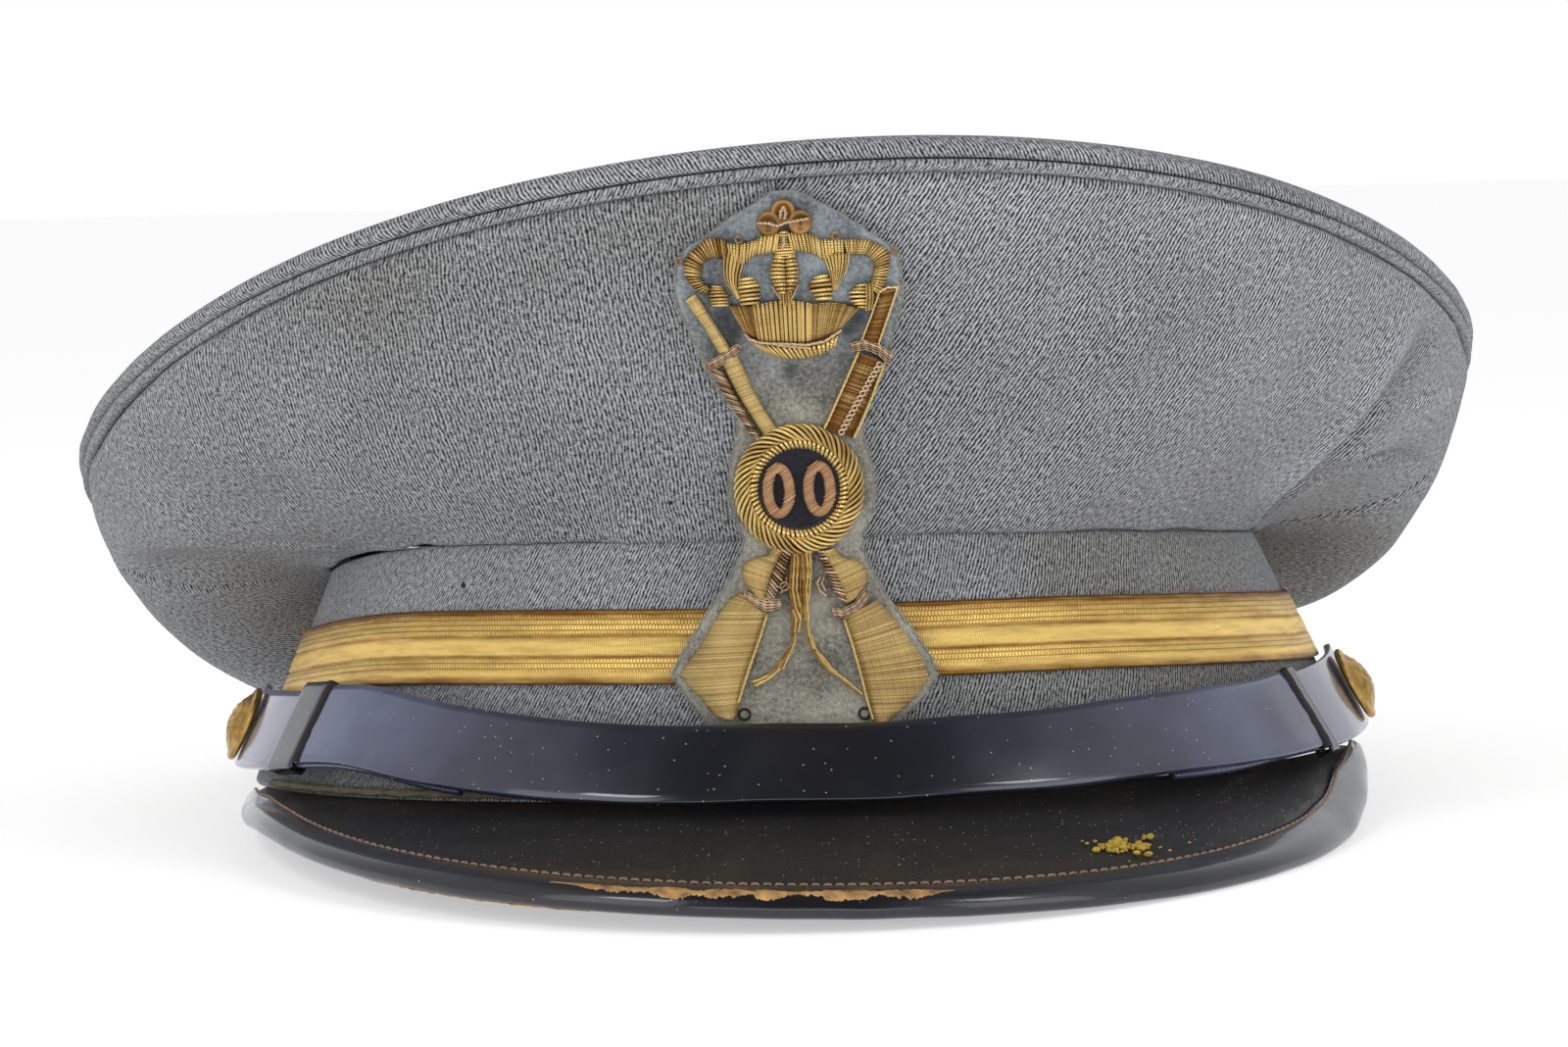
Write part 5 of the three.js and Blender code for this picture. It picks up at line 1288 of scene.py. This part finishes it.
    work = Work()
    wires(work, EDGE_WIRES, tint=[1.1])
    work.write("rifle_edge_wires", finish_of("bullion"), "bullion")

    work = Work()
    rings(work, [(747.5, 730), (871.5, 735)], 5.5, 0.2, FELT_THICK + 0.1)
    work.write("sling_rings", finish_of("cut"), "bullion")


def make_ring():
    """The ring: a rope of slanted bullion, an inner row of short bright turns, the dark disc and its numerals."""
    work = Work()
    centre = np.array(RING_CENTRE)

    def circle(radius, turn):
        return centre + np.stack([radius * np.cos(turn), -radius * np.sin(turn)], -1)

    rng = np.random.default_rng(31)
    turn, t = np.arange(50)[:, None] / 50 * 2 * math.pi, np.linspace(0, 1, 15)
    spots = circle(59 + 8 * np.cos(math.pi * t) + rng.normal(0, 0.2, (50, 1)), turn - 0.52 * t)
    arch = BASE + 0.15 + 1.1 * np.sin(math.pi * t) + rng.normal(0, 0.03, (50, 1))
    taper = 0.225 * (1 - np.abs(2 * t - 1) ** 6) ** 0.5 + 0.03
    work.strands(badge_point(spots, arch), np.broadcast_to(taper, (50, 15)), 8, tint=rng.uniform(0.5, 1.0, 50))
    fine = np.arange(62) / 62 * 2 * math.pi
    lay(work, circle(52, fine), circle(43, fine - 0.07), BASE + 0.2, 0.85, 0.26, power=2, seed=32, tint=(0.9, 1.3),
        core=False)
    # The padded ring under the rope gets a tint of -1: painted near-black shade between the strands.
    wheel = np.arange(121) / 120 * 2 * math.pi
    radii = np.array([66, 62, 58, 54, 50, 46, 43])
    rise = np.array([0.15, 0.8, 1.05, 0.8, 0.3, 0.5, 0.2])
    outer = badge_point(circle(radii[:, None], wheel[None, :-1]), (BASE + rise)[:, None])
    inner = badge_point(circle(radii[:, None], wheel[None, :-1]), BASE - GAP)
    work.shell(outer, inner, np.stack(np.broadcast_arrays(wheel * 8, np.arange(7.0)[:, None]), -1), around=True,
               tint=-1)
    work.write("badge_ring_bullion", finish_of("bullion"), "bullion", ("badge_ring",))

    work = Work()
    wheel = np.arange(72) / 72 * 2 * math.pi
    radii = np.array([0.3, 8, 16, 24, 32, 39, 41.5, 42, 42, 0.3])
    level = np.array([0.75, 0.75, 0.73, 0.7, 0.62, 0.5, 0.35, 0.1, -0.25, -0.25]) + BASE
    points = badge_point(circle(radii[:, None], wheel), level[:, None])
    spots = circle(radii[:, None], np.arange(73) / 72 * 2 * math.pi) * PIXEL
    work.grid(points, spots, False, True, (np.arange(72), np.arange(72) + 9 * 72))
    work.write("badge_disc_felt", finish_of("disc"), "disc", ("badge_disc",))

    slope = np.array([math.cos(0.6), -math.sin(0.6)])
    for side, x in (("left", 794), ("right", 836)):
        work = Work()
        offset = np.arange(-24, 24.1, 2.3)

        def cuts(wide, high):
            """Where lines on the slant cross an oval: roots of |(o n + t d) / size| = 1."""
            size, normal = np.array([wide, high]), np.array([-slope[1], slope[0]])
            a, b = np.sum((slope / size) ** 2), offset * np.sum(normal * slope / size ** 2)
            root = b * b - a * (offset ** 2 * np.sum((normal / size) ** 2) - 1)
            half = np.sqrt(np.maximum(root, 0)) / a
            return np.stack([-b / a - half, -b / a + half]), root > 0, offset[:, None] * normal + [x, 501]

        (low, high), inside, spot = cuts(16.5, 29)
        (hole_low, hole_high), crossed, _ = cuts(6, 18)
        for first, last, keep in ((low, hole_low, crossed), (hole_high, high, crossed),
                                  (low, high, inside & ~crossed)):
            lay(work, (spot + first[:, None] * slope)[keep], (spot + last[:, None] * slope)[keep], BASE + 0.95,
                0.6,
                0.2, power=2, seed=35, tint=(0.3, 1.2), core=False)
        turn = np.arange(54) / 54 * 2 * math.pi
        t = np.linspace(0, 1, 6)[:, None]
        body = np.stack([x + mix(16, 6.4, t) * np.cos(turn), 501 - mix(28.5, 18.4, t) * np.sin(turn)], -1)
        hump = BASE + 0.85 + 0.45 * (1 - np.abs(2 * t - 1) ** 2)
        work.shell(badge_point(body, hump), badge_point(body, BASE + 0.55), np.zeros((6, 55, 2)), around=True,
                   tint=0.2)
        work.write(f"numeral_{side}_satin", finish_of("numeral"), "numeral_thread", (f"numeral_{side}",))


def make_ribbons():
    """The ribbon's two ends: overlapping lengths of doubled wire, thick at the knot and thin at the tips."""
    lines = {
        "left": [[(809, 566), (808, 584), (806, 604), (809, 622)],
                 [(806, 566), (804, 584), (802, 604), (804, 622)],
                 [(804, 622), (809, 634), (806, 648)], [(801, 624), (804, 636), (802, 648)],
                 [(803, 648), (801, 660), (796, 668)], [(799, 664), (792, 677), (788, 685)],
                 [(795, 668), (786, 680), (779, 690)], [(786, 684), (775, 693), (759, 701)],
                 [(782, 686), (771, 692), (757, 697)]],
        "right": [[(814, 566), (814, 590), (813, 610), (813, 632)],
                  [(818, 566), (819, 586), (816, 606), (817, 638)],
                  [(822, 566), (822, 584), (820, 602), (818, 616)], [(816, 638), (817, 652), (821, 666)],
                  [(819, 650), (822, 664), (829, 676)], [(823, 668), (832, 682), (843, 694)],
                  [(828, 672), (838, 686), (850, 698)], [(842, 691), (855, 702), (869, 715)]],
    }
    for side, table in lines.items():
        work = Work()
        for shift, tint in ((-1.6, 0.3), (1.4, 0.9)):
            wires(work, [(np.add(line, (shift, 0)), 0.5 + 0.2 * (k % 2), 0.22 if k < 3 else 0.18)
                         for k, line in enumerate(table)], depth=0.15, pitch=1.6, tint=[tint])
        work.write(f"ribbon_{side}_wires", finish_of("bullion"), "bullion", (f"ribbon_{side}",))


def make_wear():
    """What age has left: crumbs on the peak, the binding worn to tan leather, a moth hole, a spot and lint."""
    rng = np.random.default_rng(121)
    work = Work()
    turn = np.concatenate([rng.normal(34.2, 1.5, 70), rng.uniform(30, 42, 14)]) * DEG
    share = np.concatenate([0.69 + 0.035 * rng.normal(0, 1, 70) + 0.25 * (turn[:70] - 34 * DEG),
                            rng.uniform(0.55, 0.9, 14)])
    spot = peak_point(turn, share, -0.2 - 0.35 * rng.uniform(0, 1, 84))
    heading = rng.normal(0, 1, (84, 3)) * [1, 1, 0.2]
    length = np.concatenate([rng.uniform(0.5, 1.5, 70), rng.uniform(0.2, 0.6, 14)])[:, None]
    paths = spot[:, None] + (unit(heading) * length)[:, None] * np.linspace(-0.5, 0.5, 5)[None, :, None]
    thick = length * rng.uniform(0.3, 0.5, (84, 1)) * np.array([0.4, 0.9, 1, 0.8, 0.35])
    work.strands(paths, thick, 6, flat=0.8, facing=(0, 0, 1))
    work.write("yellow_crumbs", finish_of("crumb"), "welt_thread")

    work = Work()
    top = PEAK_THICK / 2 - (PEAK_THICK / 2 + GAP + BINDING_LEATHER)
    turn = np.linspace(-24, 13, 500) * DEG
    fade = smooth((turn / DEG + 24) / 8) * smooth((13 - turn / DEG) / 4)
    along = turn * LIP_ARC
    wide = fade * np.clip(0.7 + 0.4 * ripple(along, 0, 131, 7) + 0.25 * ripple(along, 0, 132, 0.8), 0.08, 1)
    across = np.linspace(-1, 1, 7)[:, None]
    inset = 0.8 + 0.2 * ripple(turn * LIP_ARC, 0, 133, 9) + 1.15 * wide * across
    place = 1 - inset / peak_reach(turn)
    bulge = np.sqrt(1 - np.clip((1.2 - inset) / (1.2 + FOLD), 0, 1) ** 2)
    skin = mix(PEAK_THICK / 2, top, bulge) - 0.14 + 0.1 * np.abs(across) ** 4
    work.shell(peak_point(turn, place, skin), peak_point(turn, place, skin + 0.3),
               np.stack([turn * LIP_ARC + 0 * inset, inset], -1))
    turn = np.linspace(-46, -20, 260) * DEG
    line = peak_point(turn, 1 - 0.12 / peak_reach(turn), PEAK_THICK + GAP + BINDING_LEATHER * 0.62)
    fringe = 0.16 * np.clip(0.5 + 0.6 * ripple(turn * LIP_ARC, 0, 135, 2.5), 0, 1)
    ragged = 0.03 + fringe * np.sin(math.pi * np.linspace(0, 1, 260)) ** 0.4
    work.strands(line[None], ragged[None], 6)
    work.write("worn_tan_leather", finish_of("tan"), "patent_leather")

    work = Work()
    for kind, angle, level, size in (("band", -39.5, 32, 0.55), ("crown", -12.5, 0.10, 0.34),
                                     ("crown", -46, 0.52, 0.2)):
        at = angle * DEG + size / 90 * np.linspace(-1, 1, 7)
        on_band = kind == "band"
        sheet = band_point(at, level + 0 * at, 0.05) if on_band else crown_sheet(at, level + 0 * at)
        path = sheet + [0, 0 if on_band else -0.12, 0]
        work.strands(path[None], (size * np.array([0.2, 0.7, 0.95, 1, 0.9, 0.75, 0.2]))[None], 8, flat=0.25)
    work.write("moth_hole_and_spots", finish_of("cut"), "cloth")

    work = Work()
    angle, rise = rng.uniform(-85, 80, 160) * DEG, rng.uniform(0.05, 0.97, 160)
    lie = crown_sheet(angle, rise) + np.stack([np.sin(angle), -np.cos(angle), 0 * angle], -1) * 0.5
    heading = rng.normal(0, 1, (160, 3)) * [1, 0.1, 1]
    s = np.linspace(-0.5, 0.5, 5)[None, :, None]
    bend = (s ** 2 - 0.1) * rng.normal(0, 1.2, (160, 1, 3)) * [1, 0.05, 1]
    size = rng.uniform(0.5, 2.2, (160, 1, 1)) * bpy.context.scene.cap_sizes.fuzz
    work.strands(lie[:, None] + (unit(heading)[:, None] * s + bend) * size, 0.05, 3)
    work.write("pale_lint", finish_of("lint"), "cloth")


# The studio
def make_stage():
    """A pale floor that runs out of view, a white surround that is dark behind the camera, and soft panels."""
    tone, size = bpy.context.scene.cap_colours, bpy.context.scene.cap_sizes
    mesh = bpy.data.meshes.new("floor")
    mesh.from_pydata([(-6, -4, 0), (6, -4, 0), (6, 12, 0), (-6, 12, 0)], [], [(0, 1, 2, 3)])
    material, tree = new_material("white_paper")
    finish_material(tree, {"Base Color": rgba(tone.floor), "Roughness": 0.9, "Emission Color": (1, 1, 1, 1),
                           "Emission Strength": 0.45})
    mesh.materials.append(material)
    floor = bpy.data.objects.new("floor", mesh)
    bpy.context.scene.collection.objects.link(floor)

    world = bpy.data.worlds.new("studio")
    world.use_nodes = True
    tree = world.node_tree
    tree.nodes.clear()
    coords = add(tree, "ShaderNodeTexCoord").outputs["Generated"]
    split = add(tree, "ShaderNodeSeparateXYZ", {0: coords})
    beside = add(tree, "ShaderNodeMath", {0: split.outputs["X"]}, operation="ABSOLUTE")
    sides = add(tree, "ShaderNodeMapRange", {"Value": beside.outputs[0], "From Min": 0.2, "From Max": 0.7,
                                             "To Min": size.dark_side, "To Max": size.side_light},
                                             interpolation_type="SMOOTHSTEP")
    back = add(tree, "ShaderNodeMapRange", {"Value": split.outputs["Y"], "From Min": 0.25, "From Max": 0.7,
                                            "To Min": size.dark_side, "To Max": 1.0},
                                            interpolation_type="SMOOTHSTEP")
    both = add(tree, "ShaderNodeMath", {0: sides.outputs[0], 1: back.outputs[0]}, operation="MAXIMUM")
    background = add(tree, "ShaderNodeBackground", {"Color": (1, 1, 1, 1), "Strength": both.outputs[0]})
    add(tree, "ShaderNodeOutputWorld", {"Surface": background.outputs[0]})
    bpy.context.scene.world = world

    def panel(name, place, aim, wide, high, power):
        lamp = bpy.data.lights.new(name, "AREA")
        lamp.shape, lamp.size, lamp.size_y, lamp.energy = "RECTANGLE", wide, high, power
        holder = bpy.data.objects.new(name, lamp)
        bpy.context.scene.collection.objects.link(holder)
        way = (np.array(aim) - np.array(place)) / np.linalg.norm(np.array(aim) - np.array(place))
        holder.matrix_world = look(place, way, (0, 0, 1))

    panel("panel_left", (-0.75, -0.75, 0.45), (0, 0, 0.05), 0.6, 0.8, size.lamp_power)
    panel("panel_right", (0.8, -0.7, 0.4), (0, 0, 0.05), 0.6, 0.7, size.lamp_power)
    panel("spot_left", (-0.55, -0.55, 0.85), (0, -0.05, 0.05), 0.22, 0.22, size.lamp_power * 0.55)
    panel("spot_right", (0.6, -0.4, 0.85), (0, -0.05, 0.05), 0.22, 0.22, size.lamp_power * 0.45)
    panel("panel_low", (0.0, -1.2, 0.25), (0, 0, 0.05), 1.1, 0.3, size.lamp_power)


def look(place, way, up):
    """A matrix for something at a place that looks along a way: its -Z is the way, its Y is nearest to up."""
    way = np.array(way, float)
    right = unit(np.cross(way, up))
    above = np.cross(right, way)
    rows = np.eye(4)
    rows[:3, 0], rows[:3, 1], rows[:3, 2], rows[:3, 3] = right, above, -way, place
    return Matrix(rows)


def make_camera():
    """The photograph's view: 0.74 m in front, looking 4.6 degrees down, rolled by 1.5 degrees."""
    down, roll = CAMERA_DOWN, CAMERA_ROLL
    ahead = np.array([0, math.cos(down), -math.sin(down)])
    level, above = np.array([1.0, 0, 0]), np.array([0, math.sin(down), math.cos(down)])
    rows = np.eye(4)
    rows[:3, 0] = math.cos(roll) * level - math.sin(roll) * above
    rows[:3, 1] = math.sin(roll) * level + math.cos(roll) * above
    rows[:3, 2] = -ahead
    rows[:3, 3] = (SHIFT + np.array(CAMERA_PLACE)) * MM
    lens = bpy.data.cameras.new("photo_view")
    lens.lens, lens.sensor_width = CAMERA_LENS, CAMERA_SENSOR
    camera = bpy.data.objects.new("photo_view", lens)
    bpy.context.scene.collection.objects.link(camera)
    camera.matrix_world = Matrix(rows)
    bpy.context.scene.camera = camera
    bpy.context.scene.view_settings.view_transform = "Standard"


# Settings, operators and panel
def length_setting(name, text, value):
    return FloatProperty(name=name, description=text, default=value, min=0, unit="LENGTH", precision=5)


def colour_setting(name, text, hexa):
    return FloatVectorProperty(name=name, description=text, default=linear(hexa), size=3, min=0, max=1,
                               subtype="COLOR")


class CapSizes(bpy.types.PropertyGroup):
    rib_spacing: length_setting("Rib spacing", "Distance from rib to rib of the wool twill", 0.00054)
    strap_sway: length_setting("Strap sway", "How far the old strap waves off its smooth path", 0.0002)
    fold_depth: FloatProperty(name="Creases", description="Depth of the crown's small creases", default=1.0, min=0)
    strand_play: FloatProperty(name="Strand play", description="Unevenness of the embroidery", default=1.0, min=0)
    fuzz: FloatProperty(name="Felt fuzz", description="Length of the hairs along the felt's edge", default=1.0,
                        min=0)
    lamp_power: FloatProperty(name="Lamp power", description="Watts of each panel", default=2.0, min=0)
    side_light: FloatProperty(name="Side light", description="Light from the left and right", default=0.7, min=0)
    dark_side: FloatProperty(name="Dark side", description="Light from behind the camera", default=0.16, min=0)


class CapColours(bpy.types.PropertyGroup):
    wool_light: colour_setting("Wool, light yarn", "Pale fibres of the field-grey marl", "#cbced3")
    wool_dark: colour_setting("Wool, dark yarn", "Dark fibres of the field-grey marl", "#202327")
    felt_light: colour_setting("Felt, light", "Pale fibres of the badge's felt", "#b0ada0")
    felt_dark: colour_setting("Felt, dark", "Dark fibres of the badge's felt", "#5a584f")
    gold: colour_setting("Gold", "Clean gilt wire", "#f2cf78")
    tarnish: colour_setting("Tarnish", "Gilt worn to brown", "#8a5a22")
    worn_wire: colour_setting("Worn wire", "Pinkish worn wire", "#e2c8a8")
    bullion: colour_setting("Bullion", "Clean gilt wire of the badge", "#fadd92")
    satin: colour_setting("Satin", "Pale gold satin stitch", "#f6dc98")
    numeral: colour_setting("Numerals", "Tan thread of the numerals", "#d8ae86")
    patent: colour_setting("Patent leather", "Black under the coat", "#0c0c12")
    leather: colour_setting("Peak leather", "Brown-black of the peak", "#1b1a1c")
    cord: colour_setting("Cord", "Khaki cord at the band's foot", "#6d6552")
    stitch: colour_setting("Stitches", "Brown thread along the binding", "#8a7462")
    button: colour_setting("Buttons", "Worn gilt", "#b08d4a")
    crumb: colour_setting("Crumbs", "Yellow crumbs on the peak", "#b59a3c")
    floor: colour_setting("Floor", "Paper under the cap", "#f4f4f4")


class CapBand(bpy.types.Operator):
    """Builds the cloth band and its gold lace"""
    bl_idname = "cap.band"
    bl_label = "Band and lace"

    def execute(self, context):
        make_band()
        return {"FINISHED"}


class CapCrown(bpy.types.Operator):
    """Builds the four cloth quarters, the rim's welt and the top"""
    bl_idname = "cap.crown"
    bl_label = "Crown"

    def execute(self, context):
        make_crown()
        make_top()
        return {"FINISHED"}


class CapPeak(bpy.types.Operator):
    """Builds the peak, its binding with stitches and the cord at the band's foot"""
    bl_idname = "cap.peak"
    bl_label = "Peak"

    def execute(self, context):
        make_peak()
        return {"FINISHED"}


class CapStrap(bpy.types.Operator):
    """Builds the chin strap, its two ends and keepers"""
    bl_idname = "cap.strap"
    bl_label = "Chin strap"

    def execute(self, context):
        make_strap()
        return {"FINISHED"}


class CapButtons(bpy.types.Operator):
    """Builds the two gilt buttons"""
    bl_idname = "cap.buttons"
    bl_label = "Buttons"

    def execute(self, context):
        make_buttons()
        return {"FINISHED"}


class CapBadge(bpy.types.Operator):
    """Builds the felt badge and its embroidery"""
    bl_idname = "cap.badge"
    bl_label = "Badge"

    def execute(self, context):
        make_felt()
        make_badge_crown()
        make_rifles()
        make_ring()
        make_ribbons()
        return {"FINISHED"}


class CapWear(bpy.types.Operator):
    """Adds crumbs on the peak, the worn binding, a moth hole and spots, and lint"""
    bl_idname = "cap.wear"
    bl_label = "Wear"

    def execute(self, context):
        make_wear()
        return {"FINISHED"}


class CapStage(bpy.types.Operator):
    """Adds the paper floor, the soft light and the photograph's camera"""
    bl_idname = "cap.stage"
    bl_label = "Stage and camera"

    def execute(self, context):
        make_stage()
        make_camera()
        return {"FINISHED"}


STEPS = (CapBand, CapCrown, CapPeak, CapStrap, CapButtons, CapBadge, CapWear, CapStage)


class CapPanel(bpy.types.Panel):
    """Lists the cap's settings and its building steps"""
    bl_idname = "VIEW3D_PT_cap"
    bl_label = "Peaked cap"
    bl_space_type = "VIEW_3D"
    bl_region_type = "UI"
    bl_category = "Peaked cap"

    def draw(self, context):
        for group in (context.scene.cap_sizes, context.scene.cap_colours):
            for key in group.__annotations__:
                self.layout.prop(group, key)
        for step in STEPS:
            self.layout.operator(step.bl_idname)


CLASSES = (CapSizes, CapColours, *STEPS, CapPanel)


def register():
    for item in CLASSES:
        bpy.utils.register_class(item)
    bpy.types.Scene.cap_sizes = PointerProperty(type=CapSizes)
    bpy.types.Scene.cap_colours = PointerProperty(type=CapColours)


def unregister():
    del bpy.types.Scene.cap_colours
    del bpy.types.Scene.cap_sizes
    for item in reversed(CLASSES):
        bpy.utils.unregister_class(item)


def main():
    register()
    for step in STEPS:
        group, name = step.bl_idname.split(".")
        if getattr(getattr(bpy.ops, group), name)() != {"FINISHED"}:
            raise RuntimeError(f"{step.bl_label} was not built")
    bpy.context.view_layer.update()


if __name__ == "__main__":
    main()
